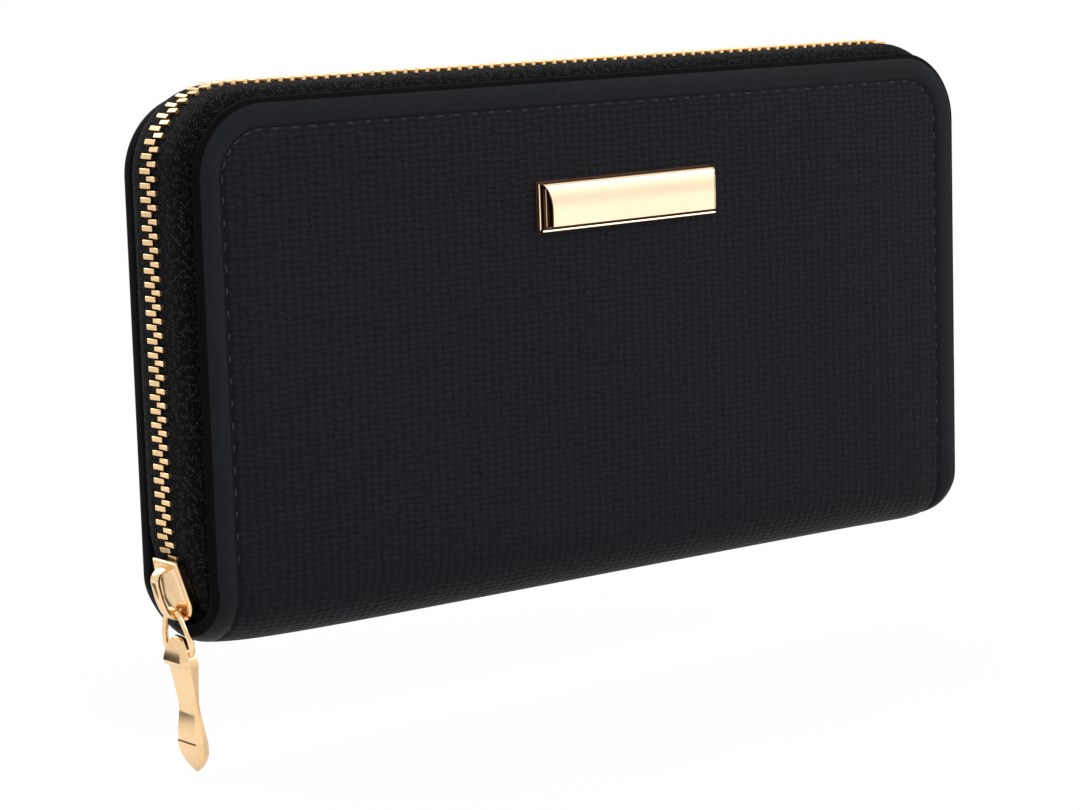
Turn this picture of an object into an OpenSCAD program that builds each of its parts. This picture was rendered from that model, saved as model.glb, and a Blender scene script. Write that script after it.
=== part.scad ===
// Zip-around wallet, standing on its spine: X is its width, Y its thickness
// (the front cover faces -Y) and Z its height. The origin is the centre of the
// pressed flat under the spine. All sizes are in millimetres.

/* [Covers] */
// Width of the covers
cover_w = 195; // [160:1:220]
// Height from the underside of the spine to the top of the covers
cover_h = 103.5; // [85:0.5:125]
// Radius of the upper corners of the covers
corner_r = 14.5; // [10:0.5:24]
// Radius of the lower corners, where the spine ends
foot_r = 7; // [5:0.5:12]
// Thickness of the outer leather
hide_t = 0.9; // [0.6:0.1:1.4]
// Thickness of the stiffening board in each cover
board_t = 0.8; // [0.5:0.1:1.4]
// Thickness of the lining
lining_t = 0.5; // [0.3:0.1:0.8]
// Width of the smooth binding round each cover
rim_w = 4; // [3:0.5:6]
// How far the underside of the spine is pressed flat
spine_press = 0.3; // [0.1:0.1:0.6]

/* [Inside] */
// Clear depth of the coin pocket
coin_gap = 4.4; // [4.2:0.1:8]
// Thickness of each wall of the coin pocket
coin_wall_t = 1; // [0.6:0.1:1.4]
// Clear depth of the note compartment on each side of the coin pocket
note_gap = 4.4; // [4.2:0.1:8]
// Thickness of the panel that carries the card slots
card_panel_t = 0.6; // [0.4:0.1:1]
// Thickness of one card slot's leather
card_t = 0.65; // [0.4:0.05:0.9]
// Height between the top edges of two card slots
card_step = 13; // [9:0.5:15]
// Height from the top of the covers down to the top edge of the card panel
card_drop = 13; // [10:0.5:18]
// Height from the card panel's top edge down to the first slot's edge
card_first = 9; // [6:0.5:12]
// Radius of the thumb notches in the slots
notch_r = 12; // [9:0.5:14]
// Depth of the thumb notches
notch_deep = 3; // [1:0.5:5]
// How far the inside panels stay in from the side edge of the covers
panel_inset = 6.5; // [6.2:0.1:12]
// How far the gussets fold inward
gusset_fold = 6; // [4:0.5:9]
// Thickness of the gusset cloth
gusset_t = 0.5; // [0.3:0.1:0.7]
// Width of the folded strip that closes the coin pocket's sides and bottom
coin_seam_w = 2.5; // [1.5:0.5:4]

/* [Main zip] */
// How far the chain's middle stands out from the edge of the covers
zip_rise = 2; // [1.4:0.1:3]
// Distance between two teeth of one row
tooth_pitch = 2.65; // [2.5:0.05:3.5]
// Thickness of a tooth along the chain
tooth_t = 1.05; // [0.8:0.05:1.1]
// Distance from the chain's middle to the back of a tooth
tooth_back = 2.4; // [2.1:0.1:2.8]
// How far a tooth reaches past the chain's middle
tooth_reach = 0.5; // [0.3:0.05:0.7]
// Half of a tooth's height off the tape
tooth_half_h = 1.15; // [0.9:0.05:1.2]
// Thickness of the tape
tape_t = 0.6; // [0.4:0.05:0.65]
// Width of the tape sewn inside the cover
tape_seam = 5.6; // [4:0.1:6]
// Radius of the bend that leads the chain into the slider
bend_r = 30; // [24:1:40]

/* [Slider] */
// Length of the slider
slider_len = 12; // [10:0.1:13]
// Width of the slider over its shoulders
slider_w = 11; // [10:0.1:12]
// Width of the slider at its tail
slider_tail_w = 8; // [6.8:0.1:8.4]
// Thickness of each plate of the slider
plate_t = 0.9; // [0.7:0.1:1.2]
// Clear height between the plates
throat = 3; // [2.8:0.1:3.6]
// Thickness of the guide walls between the plates
guide_t = 0.7; // [0.5:0.1:0.9]
// Height of the slot that the tape runs through
tape_slot = 0.9; // [0.8:0.1:1.2]
// Height of the slider's middle over the underside of the spine
slider_z = 12.2; // [11:0.1:16]
// Lean of the slider's nose toward the wallet, in degrees
slider_tilt = 14; // [8:1:18]
// Height of the bridge over the outer plate
bridge_h = 3.2; // [3:0.1:4]
// Width of the bridge strap
bridge_w = 2.5; // [1.8:0.1:3]
// Thickness of the bridge strap
bridge_t = 0.9; // [0.7:0.1:1.1]

/* [Pull] */
// Diameter of the wire of the link
wire_d = 1.2; // [0.9:0.1:1.4]
// Distance between the link's two axes
link_len = 8.4; // [7.5:0.1:10]
// Lean of the hanging link, in degrees
link_lean = 9; // [0:1:12]
// Lean of the hanging tab, in degrees
tab_lean = 6; // [0:1:10]
// Length of the tab below its pin
tab_len = 24; // [20:0.1:30]
// Width of the tab at its head
tab_head_w = 7.8; // [6.4:0.1:8.6]
// Width of the tab at its waist
tab_waist_w = 6; // [4.4:0.1:7]
// Width of the tab at its flare
tab_flare_w = 8; // [6.4:0.1:9]
// Thickness of the tab
tab_t = 2.8; // [2.2:0.1:3.4]

/* [Coin zip] */
// Size of the coin zip as a share of the main zip
coin_zip_k = 0.62; // [0.5:0.02:0.64]
// Height of the coin pocket's walls
coin_wall_top = 85; // [70:1:86]
// Distance of the parked coin slider from the middle of the wallet
coin_park = 70; // [55:1:72]
// Height of the coin zip's tape sewn to the pocket's walls
coin_tape_drop = 5.5; // [3:0.5:8]
// How far the coin zip's tape stays in from the ends of the walls
coin_tape_inset = 3; // [2:0.5:5]
// Length of the coin pull
coin_pull_len = 14.5; // [12:0.5:16]
// Thickness of the coin pull
coin_pull_t = 0.9; // [0.6:0.1:0.9]

/* [Plaque] */
// Width of the plaque
plaque_w = 45; // [30:1:60]
// Height of the plaque
plaque_h = 9.6; // [7:0.1:12]
// How far the plaque's crown stands off the cover
plaque_rise = 2; // [1.4:0.1:2.6]
// Thickness of the plaque's metal
plaque_t = 0.7; // [0.5:0.1:0.9]
// Distance of the plaque's middle from the middle of the cover
plaque_x = 3.2; // [-20:0.1:20]
// Height from the top of the cover down to the plaque's middle
plaque_drop = 24.8; // [20:0.1:50]
// Width of a fixing prong
prong_w = 4; // [3:0.5:6]
// Thickness of a fixing prong and of the back plate
prong_t = 0.4; // [0.3:0.05:0.5]

/* [Hidden] */
$fn = 48;
card_slots = 4;
clear = 0.1;              // running clearance between metal pieces
gap = 0.3;                // clearance between soft pieces on different bodies
stack_t = hide_t + board_t + lining_t;
coin_out = coin_gap / 2 + coin_wall_t;
leaf_face = coin_out + note_gap;
inner_face = leaf_face + card_slots * card_t + card_panel_t;
half_t = inner_face + stack_t;
hinge_h = half_t - spine_press;          // height of the fold line's axis
edge_r = stack_t / 2;
board_low = hinge_h + 3;                 // boards stop short of the fold
panel_low = hinge_h + 3.5;               // bottom of everything inside
panel_hw = cover_w / 2 - panel_inset;
coin_hw = panel_hw - 1;
card_top = cover_h - card_drop;

plaque_z = cover_h - plaque_drop;

chain_x = cover_w / 2 + zip_rise;
chain_r = corner_r + zip_rise;
corner_z = cover_h - corner_r;
tail_shift = bend_r * (1 - cos(slider_tilt));
slider_half = slider_len / 2;
tail_x = chain_x - tail_shift;           // where the chain enters the slider
tail_z = slider_z + slider_half * cos(slider_tilt);
bend_z = tail_z + bend_r * sin(slider_tilt);
slider_x = tail_x - slider_half * sin(slider_tilt);
slot_half = tape_t / 2 + 0.08;

bend_len = bend_r * slider_tilt * PI / 180;
side_len = corner_z - bend_z;
corner_len = chain_r * PI / 2;
top_len = cover_w - 2 * corner_r;
inside_len = 3.6;                        // closed chain inside the slider
chain_len = 2 * (bend_len + side_len + corner_len) + top_len + inside_len;

plate_face = throat / 2 + plate_t;       // outer face of the slider's plate
shoulder_r = slider_w / 3;
bar_r = wire_d / 2;
bridge_nose = -slider_half + 0.5;
bridge_tail = slider_half - 1.1;
bar_room = bridge_h - bridge_t - bar_r - clear;
bar_z = bridge_nose + bridge_h - bar_room * sin(60);
bar_out = plate_face + bar_room * cos(60);
link_x = -slider_x - bar_out * cos(slider_tilt) - bar_z * sin(slider_tilt);
link_z = slider_z - bar_out * sin(slider_tilt) + bar_z * cos(slider_tilt);
leg_top = bridge_w / 2 + bar_r + clear;
leg_low = tab_head_w / 2 + bar_r + clear;
leg_straight = 3.2;                      // where the legs run straight beside the tab
foot_bend = 0.75;                        // radii of the wire's bends
hip_bend = 2;
knee_bend = 0.9;
wire_sides = 20;
wire_bend_steps = 6;
pin_x = link_x + link_len * sin(link_lean);
pin_z = link_z - link_len * cos(link_lean);
pin_in = tab_head_w / 2 - 1;
tail_edge = tooth_reach + 1.7;           // inner edge of the tapes inside the slider

coin_tape_t = tape_t * coin_zip_k;
coin_plane = coin_wall_top + plate_face * coin_zip_k + 0.5;
coin_fold = max(slider_w / 2 * coin_zip_k, coin_out) + 0.3 + coin_tape_t / 2;
coin_pitch = tooth_pitch * coin_zip_k * 1.2;
coin_tail = -coin_park + slider_half * coin_zip_k;
coin_teeth = floor((coin_hw - coin_tape_inset - coin_tail + 2) / coin_pitch);
coin_bar_up = coin_pull_t / 2 + clear;
coin_bar_room = (bridge_h - bridge_t) * coin_zip_k - coin_bar_up;
coin_bar_x = -coin_park + (bridge_nose + bridge_h) * coin_zip_k
    - sqrt(coin_bar_room * coin_bar_room - coin_bar_up * coin_bar_up);
coin_bar_z = coin_plane + plate_face * coin_zip_k + coin_bar_up;
coin_pull_w = 4.4;
coin_window = 6;

// ---- placing -----------------------------------------------------------------

// Stands a flat drawing up: its x stays, its y becomes height, its z thickness.
module upright() mirror([0, 1, 0]) rotate([90, 0, 0]) children();

// Makes the back half's copy of a front half's shape.
module to_back() mirror([0, 1, 0]) children();

// Extrudes a (y, z) drawing along X from x0.
module along_x(x0, length) translate([x0, 0, 0]) rotate([90, 0, 90]) linear_extrude(length) children();

// Extrudes an (x, z) drawing along Y, centred.
module along_y(width) rotate([90, 0, 0]) linear_extrude(width, center = true) children();

// Puts a slider drawn with its outer face to -X and its tail up in its parked place.
module on_chain() translate([-slider_x, 0, slider_z]) rotate([0, -slider_tilt, 0]) children();

// Puts a scaled slider on the coin zip, its outer face up and its tail to +X.
module on_coin_zip() translate([-coin_park, 0, coin_plane]) rotate([0, 90, 0]) scale(coin_zip_k) children();

// Outline of a cover from height low up, drawn in by inset all round.
module outline(inset, low) {
    hw = cover_w / 2 - inset;
    r = corner_r - inset;
    for (s = [-1, 1]) translate([s * (hw - r), corner_z]) circle(r);
    translate([-hw, low]) square([2 * hw, corner_z - low]);
    translate([-hw + r, low]) square([2 * (hw - r), corner_z + r - low]);
}

// Profile carried round the sides and top of a cover. Its x is the distance
// outside the cover's edge and its y the thickness direction.
module round_cover(low) {
    for (s = [0, 1]) mirror([s, 0, 0]) {
        translate([cover_w / 2, corner_z, 0]) rotate([90, 0, 0])
            linear_extrude(corner_z - low) children();
        translate([cover_w / 2 - corner_r, corner_z, 0])
            rotate_extrude(angle = 90) translate([corner_r, 0]) children();
    }
    translate([-top_len / 2, cover_h, 0]) rotate([90, 0, 90]) linear_extrude(top_len) children();
}

// Corner points of a strip of thickness t whose middle follows the given points.
function strip_side(p, k) = [for (i = [0:len(p) - 1])
    let (a = p[max(i - 1, 0)], b = p[min(i + 1, len(p) - 1)],
         d1 = i > 0 ? (p[i] - a) / norm(p[i] - a) : (b - p[i]) / norm(b - p[i]),
         d2 = i < len(p) - 1 ? (b - p[i]) / norm(b - p[i]) : d1,
         n = [-d1.y - d2.y, d1.x + d2.x], m = 1 + d1 * d2)
    p[i] + k * n / m];
function reversed(v) = [for (i = [len(v) - 1:-1:0]) v[i]];
module strip(points, t) polygon(concat(strip_side(points, t / 2), reversed(strip_side(points, -t / 2))));

// ---- covers --------------------------------------------------------------------

module cover_sheet(inset, low, depth, t)
    upright() translate([0, 0, -depth]) linear_extrude(t) outline(inset, low);

module prong_slots(depth, t)
    for (s = [-1, 1])
        translate([plaque_x + s * plaque_w / 4 - prong_w / 2 - clear, -depth - clear,
                   plaque_z - prong_t / 2 - clear])
            cube([prong_w + 2 * clear, t + 2 * clear, prong_t + 2 * clear]);

module cover() cover_sheet(rim_w, hinge_h, half_t, hide_t);
module board() cover_sheet(edge_r + clear, board_low, half_t - hide_t, board_t);
module lining() cover_sheet(edge_r + clear, hinge_h, inner_face + lining_t, lining_t);

module binding_profile() {
    translate([-rim_w, -half_t]) square([rim_w - edge_r, hide_t]);
    translate([-edge_r - clear, -half_t]) square([clear, stack_t]);
    intersection() {
        translate([-edge_r, -half_t + edge_r]) circle(edge_r);
        translate([-edge_r, -half_t]) square([edge_r, stack_t]);
    }
}
module binding() upright() round_cover(hinge_h) binding_profile();

module front_cover() color("#1c1d21") difference() { cover(); prong_slots(half_t, hide_t); }
module front_board() color("#8c7b62")
    difference() {
        board();
        prong_slots(half_t - hide_t, board_t);
        back_plate_shape(clear);
    }
module front_lining() color("#2a2a2e") lining();
module front_binding() color("#191a1d") binding();
module back_cover() color("#1c1d21") to_back() cover();
module back_board() color("#8c7b62") to_back() board();
module back_lining() color("#2a2a2e") to_back() lining();
module back_binding() color("#191a1d") to_back() binding();

// Half round shell under the fold line, its ends rounded like the covers' feet.
module spine_shell(outer, inner, inset)
    intersection() {
        translate([-cover_w / 2, 0, hinge_h]) rotate([0, 90, 0]) difference() {
            cylinder(r = outer, h = cover_w);
            translate([0, 0, -1]) cylinder(r = inner, h = cover_w + 2);
        }
        translate([0, half_t, 0]) rotate([90, 0, 0]) linear_extrude(2 * half_t) intersection() {
            hw = cover_w / 2 - inset;
            translate([-hw, 0]) square([2 * hw, hinge_h]);
            union() {
                for (s = [-1, 1]) translate([s * (hw - foot_r), foot_r]) circle(foot_r);
                translate([-hw + foot_r, 0]) square([2 * (hw - foot_r), cover_h]);
                translate([-hw, foot_r]) square([2 * hw, cover_h]);
            }
        }
    }
module spine_wrap() color("#1c1d21") spine_shell(half_t, half_t - hide_t, 0);
module spine_lining() color("#2a2a2e")
    intersection() {
        spine_shell(half_t - hide_t, half_t - hide_t - lining_t, edge_r);
        translate([-cover_w, -half_t, hide_t - spine_press]) cube([2 * cover_w, 2 * half_t, hinge_h]);
    }

// ---- card slots ----------------------------------------------------------------

// Flat leather panel of the inside, its top corners rounded.
module inside_panel(hw, low, top, depth, t, r)
    upright() translate([0, 0, -depth]) linear_extrude(t) {
        for (s = [-1, 1]) translate([s * (hw - r), top - r]) circle(r);
        translate([-hw, low]) square([2 * hw, top - r - low]);
        translate([-hw + r, low]) square([2 * (hw - r), top - low]);
    }
module card_panel() inside_panel(panel_hw, panel_low, card_top, inner_face, card_panel_t, 6);

function slot_top(n) = card_top - card_first - (n - 1) * card_step;

// Slot n of four: each is lower than the one behind it, with a thumb notch
// scooped from its top edge in the middle of each of its two card widths.
module card_slot(n)
    difference() {
        inside_panel(panel_hw, panel_low, slot_top(n),
                     inner_face - card_panel_t - (n - 1) * card_t, card_t, 2);
        for (s = [-1, 1])
            translate([s * panel_hw / 2, 0, slot_top(n) + notch_r - notch_deep]) rotate([90, 0, 0])
                cylinder(r = notch_r, h = 2 * half_t);
    }

module front_card_panel() color("#26262a") card_panel();
module front_card_slot(n) color("#202024") card_slot(n);
module back_card_panel() color("#26262a") to_back() card_panel();
module back_card_slot(n) color("#202024") to_back() card_slot(n);

// ---- zip tapes and teeth ---------------------------------------------------------

tape_line = [[zip_rise, -tooth_reach - 1], [zip_rise, -slider_w / 2 + 0.7],
             [-0.2, -inner_face + tape_t / 2], [-tape_seam, -inner_face + tape_t / 2]];

// Tape of the front row: along the cover, then round the bend into the slider.
module zip_tape() {
    upright() {
        round_cover(bend_z) strip(tape_line, tape_t);
        for (s = [0, 1]) mirror([s, 0, 0])
            translate([chain_x - bend_r, bend_z, 0]) rotate([0, 0, -slider_tilt])
                rotate_extrude(angle = slider_tilt)
                    translate([bend_r - zip_rise, 0]) strip(tape_line, tape_t);
    }
}

// Section of one tooth of the front row: two jaws that grip the tape and a head
// that meshes with the other row. x is the height off the tape, y the thickness.
module tooth_section() {
    neck = tooth_half_h * 0.7;
    jaw = tooth_back - 0.9;
    difference() {
        polygon([[-tooth_half_h, -tooth_back], [tooth_half_h, -tooth_back],
                 [tooth_half_h, -0.9], [neck, -0.5], [neck, tooth_reach - 0.2],
                 [neck - 0.2, tooth_reach], [0.2 - neck, tooth_reach],
                 [-neck, tooth_reach - 0.2], [-neck, -0.5], [-tooth_half_h, -0.9]]);
        translate([-slot_half, -tooth_back - 1]) square([2 * slot_half, 1 + jaw]);
    }
}
module tooth() rotate([90, 0, 0]) linear_extrude(tooth_t, center = true) tooth_section();

// Place on the chain at a distance d from its closed end: x, height, and the
// heading of the chain in degrees, where 0 runs down the right side.
function chain_at(d) =
    let (d1 = inside_len, d2 = d1 + bend_len, d3 = d2 + side_len, d4 = d3 + corner_len,
         d5 = d4 + top_len, d6 = d5 + corner_len, d7 = d6 + side_len)
    d < d1 ? let (r = d1 - d) [-tail_x + r * sin(slider_tilt), tail_z - r * cos(slider_tilt), 180 + slider_tilt]
    : d < d2 ? let (a = (d2 - d) / bend_len * slider_tilt)
        [-chain_x + bend_r * (1 - cos(a)), bend_z - bend_r * sin(a), 180 + a]
    : d < d3 ? [-chain_x, bend_z + d - d2, 180]
    : d < d4 ? let (a = (d - d3) / corner_len * 90)
        [-chain_x + chain_r * (1 - cos(a)), corner_z + chain_r * sin(a), 180 - a]
    : d < d5 ? [-top_len / 2 + d - d4, corner_z + chain_r, 90]
    : d < d6 ? let (a = (d - d5) / corner_len * 90)
        [top_len / 2 + chain_r * sin(a), corner_z + chain_r * cos(a), 90 - a]
    : d < d7 ? [chain_x, corner_z - (d - d6), 0]
    : let (a = min((d - d7) / bend_len, 1) * slider_tilt)
        [chain_x - bend_r * (1 - cos(a)), bend_z - bend_r * sin(a), -a];

teeth_per_row = floor(chain_len / tooth_pitch) - 1;

// One row of teeth; shift moves it along the chain by a share of the pitch.
module teeth_row(shift)
    upright() for (i = [0:teeth_per_row - 1]) {
        at = chain_at((i + shift) * tooth_pitch + tooth_t);
        translate([at.x, at.y, 0]) rotate([0, 0, at.z]) tooth();
    }

module front_zip_tape() color("#1a1a1c") zip_tape();
module back_zip_tape() color("#1a1a1c") to_back() zip_tape();
module front_zip_teeth() color("#d9b27c") teeth_row(0);
module back_zip_teeth() color("#d9b27c") to_back() teeth_row(0.5);

// Ends of the two tapes: through the slider's slots and on into the wallet.
module tape_tails() color("#1a1a1c")
    on_chain() for (s = [-1, 1])
        mirror([0, s > 0 ? 0 : 1, 0]) translate([-tape_t / 2, tail_edge, -slider_half - 1.5])
            cube([tape_t, slider_w / 2 - guide_t - tail_edge, slider_len + 1.2]);

// Stops crimped on the tape ends, one in each shoulder of the slider.
module closing_stops() color("#d9b27c")
    on_chain() for (s = [-1, 1])
        mirror([0, s > 0 ? 0 : 1, 0]) translate([0, tail_edge - 0.7, -2.6]) difference() {
            translate([-tooth_half_h, 0, 0]) cube([2 * tooth_half_h, 2, 3]);
            translate([-slot_half, 0.6, -1]) cube([2 * slot_half, 2, 5]);
        }

// Stop that bridges both rows at the opening end.
module end_stop() color("#d9b27c")
    upright() {
        at = chain_at(chain_len - 1.3);
        translate([at.x, at.y, 0]) rotate([0, 0, at.z]) difference() {
            cube([2 * tooth_half_h, 2.2, 2 * tooth_back], center = true);
            for (s = [-1, 1]) translate([0, 0, s * (tooth_reach + 1 + tooth_back)])
                cube([2 * slot_half, 4, 2 * tooth_back], center = true);
        }
    }

// ---- slider --------------------------------------------------------------------

// Plan of the slider drawn in by inset: round shoulders at the nose, taper to the tail.
module slider_plan(inset) {
    r = shoulder_r - inset;
    side = slider_w / 2 - shoulder_r;
    tail = slider_tail_w / 2 - inset;
    for (s = [-1, 1]) translate([s * side, -slider_half + shoulder_r]) circle(r);
    translate([-side, -slider_half + inset]) square([2 * side, r]);
    polygon([[-tail, slider_half], [-side - r, -slider_half + shoulder_r + 0.2],
             [-side - r, -slider_half + shoulder_r], [side + r, -slider_half + shoulder_r],
             [side + r, -slider_half + shoulder_r + 0.2], [tail, slider_half]]);
}

module slider_block() {
    for (s = [0, 1]) mirror([s, 0, 0]) {
        along_x(throat / 2, plate_t) slider_plan(0);
        along_x(tape_slot / 2, throat / 2 - tape_slot / 2) difference() {
            slider_plan(0);
            slider_plan(guide_t);
            translate([-slider_w, -slider_half - 1]) square([2 * slider_w, shoulder_r]);
            translate([-slider_tail_w / 2 + guide_t, 0]) square([slider_tail_w - 2 * guide_t, slider_len]);
        }
    }
    along_x(-throat / 2, throat)
        polygon([[0, -0.6], [1.3, -slider_half + 2], [1, -slider_half + 0.3],
                 [-1, -slider_half + 0.3], [-1.3, -slider_half + 2]]);
}

// Strap bent into a long low arch: two quarter rounds and a flat top.
module bridge_strap() {
    flat = bridge_tail - bridge_nose - 2 * bridge_h;
    along_y(bridge_w) {
        translate([-plate_face - bridge_h, bridge_nose + bridge_h]) square([bridge_t, flat]);
        for (s = [0, 1]) translate([-plate_face, (bridge_nose + bridge_tail) / 2]) mirror([0, s])
            translate([0, flat / 2]) intersection() {
                difference() {
                    circle(bridge_h);
                    circle(bridge_h - bridge_t);
                }
                translate([-bridge_h, 0]) square(bridge_h);
            }
    }
}

module slider_body() color("#e0bd8a") on_chain() slider_block();
module slider_bridge() color("#e0bd8a") on_chain() bridge_strap();

// ---- pull ----------------------------------------------------------------------

// Places and headings round a bend of radius r where the line a-b-c turns: [y, z, heading].
function bend(a, b, c, r) =
    let (h = atan2(b.y - a.y, b.x - a.x), swing = atan2(c.y - b.y, c.x - b.x) - h,
         turn = swing - 360 * round(swing / 360), way = sign(turn),
         start = b - r * tan(abs(turn) / 2) * [cos(h), sin(h)],
         centre = start + way * r * [-sin(h), cos(h)])
    [for (i = [0:wire_bend_steps]) let (g = h + turn * i / wire_bend_steps)
        [centre.x + way * r * sin(g), centre.y - way * r * cos(g), g]];

// Round wire along a flat line in the YZ plane, with a bend radius for each corner.
module wire(line, radii) {
    last = len(line) - 1;
    run = concat([[line[0].x, line[0].y, atan2(line[1].y - line[0].y, line[1].x - line[0].x)]],
                 [for (i = [1:last - 1]) each bend(line[i - 1], line[i], line[i + 1], radii[i - 1])],
                 [[line[last].x, line[last].y,
                   atan2(line[last].y - line[last - 1].y, line[last].x - line[last - 1].x)]]);
    n = wire_sides;
    m = len(run);
    polyhedron(
        [for (p = run) for (j = [0:n - 1]) let (f = 360 * j / n, k = bar_r * cos(f))
            [bar_r * sin(f), p.x - k * sin(p.z), p.y + k * cos(p.z)]],
        concat([for (i = [0:m - 2]) for (j = [0:n - 1]) let (a = i * n + j, b = i * n + (j + 1) % n)
                    each [[a, b + n, b], [a, a + n, b + n]]],
               [[for (j = [0:n - 1]) j], [for (j = [n - 1:-1:0]) (m - 1) * n + j]]));
}

// Bail of bent wire: its bar runs through the bridge, its ends turn into the tab.
module pull_link() color("#e0bd8a")
    translate([link_x, 0, link_z]) rotate([0, -link_lean, 0])
        wire([[-pin_in, -link_len], [-leg_low, -link_len], [-leg_low, leg_straight - link_len],
              [-leg_top, 0], [leg_top, 0], [leg_low, leg_straight - link_len],
              [leg_low, -link_len], [pin_in, -link_len]],
             [foot_bend, hip_bend, knee_bend, knee_bend, hip_bend, foot_bend]);

// Half width of the tab at depth z below its pin: head, waist, flare and tip.
function tab_half(z) =
    let (head_end = -6, flare = tab_flare_z, waist = tab_waist_z)
    z > head_end ? tab_head_w / 2
    : z > waist ? tab_waist_w / 2 + (tab_head_w - tab_waist_w) / 4 * (1 + cos(180 * (z - head_end) / (waist - head_end)))
    : z > flare ? tab_waist_w / 2 + (tab_flare_w - tab_waist_w) / 4 * (1 - cos(180 * (z - waist) / (flare - waist)))
    : tab_flare_w / 2 * sqrt(max(0, 1 - pow((flare - z) / (tab_len + flare), 1.7)));

tab_levels = [for (i = [6:27]) -tab_len * i / 28];
tab_waist_z = -tab_len * 0.5;
tab_flare_z = -tab_len * 0.8;
module tab_outline()
    polygon(concat([[tab_head_w / 2 - 1.4, 1.8], [tab_head_w / 2 - 0.5, 1.3], [tab_head_w / 2, 0.1]],
                   [for (z = tab_levels) [tab_half(z), z]], [[0, -tab_len]],
                   [for (z = reversed(tab_levels)) [-tab_half(z), z]],
                   [[-tab_head_w / 2, 0.1], [0.5 - tab_head_w / 2, 1.3], [1.4 - tab_head_w / 2, 1.8]]));

// Side view of the tab, outer face to -X: a full head, a sunk panel below it and
// a pointed end that thins to its tip.
module tab_side()
    polygon([[-tab_t / 2 + 0.5, 1.8], [-tab_t / 2 - 0.2, -1.2], [-tab_t / 2 - 0.2, -4.6],
             [-tab_t / 2 + 0.4, -5.6], [-tab_t / 2 + 0.6, tab_waist_z],
             [-tab_t / 2 + 0.35, tab_flare_z], [-tab_t / 2, tab_flare_z - 0.1], [-0.5, -tab_len],
             [0.5, -tab_len], [tab_t / 2, tab_flare_z], [tab_t / 2 - 0.6, tab_waist_z],
             [tab_t / 2, -5], [tab_t / 2, -1], [tab_t / 2 - 0.6, 1.8]]);

module pull_tab() color("#e8c694")
    translate([pin_x, 0, pin_z]) rotate([0, -tab_lean, 0]) difference() {
        intersection() {
            along_x(-tab_t, 2 * tab_t) tab_outline();
            along_y(tab_flare_w + 1) tab_side();
        }
        for (s = [-1, 1]) translate([0, s * (pin_in - clear), 0]) rotate([-90 * s, 0, 0])
            cylinder(d = wire_d + 0.1, h = tab_head_w);
    }

// ---- coin pocket ---------------------------------------------------------------

module coin_wall() inside_panel(coin_hw, panel_low, coin_wall_top, coin_out, coin_wall_t, 3);
module coin_wall_front() color("#222226") coin_wall();
module coin_wall_back() color("#222226") to_back() coin_wall();
module coin_seam() color("#2a2a2e")
    upright() translate([0, 0, -coin_gap / 2]) linear_extrude(coin_gap) difference() {
        translate([-coin_hw, panel_low]) square([2 * coin_hw, coin_wall_top - 3 - panel_low]);
        translate([-coin_hw + coin_seam_w, panel_low + coin_seam_w])
            square([2 * (coin_hw - coin_seam_w), coin_wall_top]);
    }

// Tape of the coin zip: flat beside the teeth, then down over the wall's outside.
module coin_tape()
    along_x(-coin_hw + coin_tape_inset, 2 * (coin_hw - coin_tape_inset))
        strip([[-(tooth_reach + 1) * coin_zip_k, coin_plane], [-coin_fold, coin_plane],
               [-coin_out - coin_tape_t / 2, coin_wall_top - 0.5],
               [-coin_out - coin_tape_t / 2, coin_wall_top - 0.5 - coin_tape_drop]], coin_tape_t);
module coin_teeth_row(shift)
    for (i = [0:coin_teeth - 1])
        translate([coin_tail - 2 + (i + shift) * coin_pitch, 0, coin_plane])
            rotate([0, 90, 0]) scale(coin_zip_k) upright() tooth();

module coin_tape_front() color("#1a1a1c") coin_tape();
module coin_tape_back() color("#1a1a1c") to_back() coin_tape();
module coin_teeth_front() color("#d9b27c") coin_teeth_row(0);
module coin_teeth_back() color("#d9b27c") to_back() coin_teeth_row(0.5);
module coin_end_stop() color("#d9b27c")
    translate([coin_tail - 2 + (coin_teeth + 0.5) * coin_pitch, 0, coin_plane]) difference() {
        cube([1.6, 2 * tooth_back * coin_zip_k, 2 * tooth_half_h * coin_zip_k], center = true);
        for (s = [-1, 1]) translate([0, s * (tooth_reach + 1 + tooth_back) * coin_zip_k, 0])
            cube([2, 2 * tooth_back * coin_zip_k, 2 * slot_half * coin_zip_k], center = true);
    }

module coin_slider_body() color("#e0bd8a") on_coin_zip() slider_block();
module coin_slider_bridge() color("#e0bd8a") on_coin_zip() bridge_strap();

// Flat pull lying along the coin zip; its window lets it turn over the bridge.
module coin_pull() color("#e8c694")
    translate([coin_bar_x, 0, coin_bar_z]) {
        translate([0, 0, -coin_pull_t / 2]) linear_extrude(coin_pull_t) difference() {
            union() {
                translate([-coin_pull_len, -coin_pull_w / 2]) square([coin_pull_len, coin_pull_w]);
                translate([-coin_pull_len, 0]) circle(d = coin_pull_w);
            }
            translate([-coin_window, -1.2]) square([coin_window + 1, 2.4]);
        }
        rotate([90, 0, 0]) cylinder(d = coin_pull_t, h = coin_pull_w, center = true);
    }

// ---- gussets -------------------------------------------------------------------

// Cloth folded inward between the inside panel and the coin pocket.
module gusset()
    translate([0, 0, panel_low]) linear_extrude(coin_wall_top - 8 - panel_low)
        strip([[-coin_hw, -leaf_face + gap + gusset_t / 2],
               [-coin_hw + 0.6, -leaf_face + gap + gusset_t / 2],
               [-coin_hw + gusset_fold, -(leaf_face + coin_out) / 2],
               [-coin_hw + 0.6, -coin_out - gusset_t / 2],
               [-coin_hw, -coin_out - gusset_t / 2]], gusset_t);
module gusset_front_left() color("#1e1e21") gusset();
module gusset_front_right() color("#1e1e21") mirror([1, 0, 0]) gusset();
module gusset_back_left() color("#1e1e21") to_back() gusset();
module gusset_back_right() color("#1e1e21") to_back() mirror([1, 0, 0]) gusset();

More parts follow.
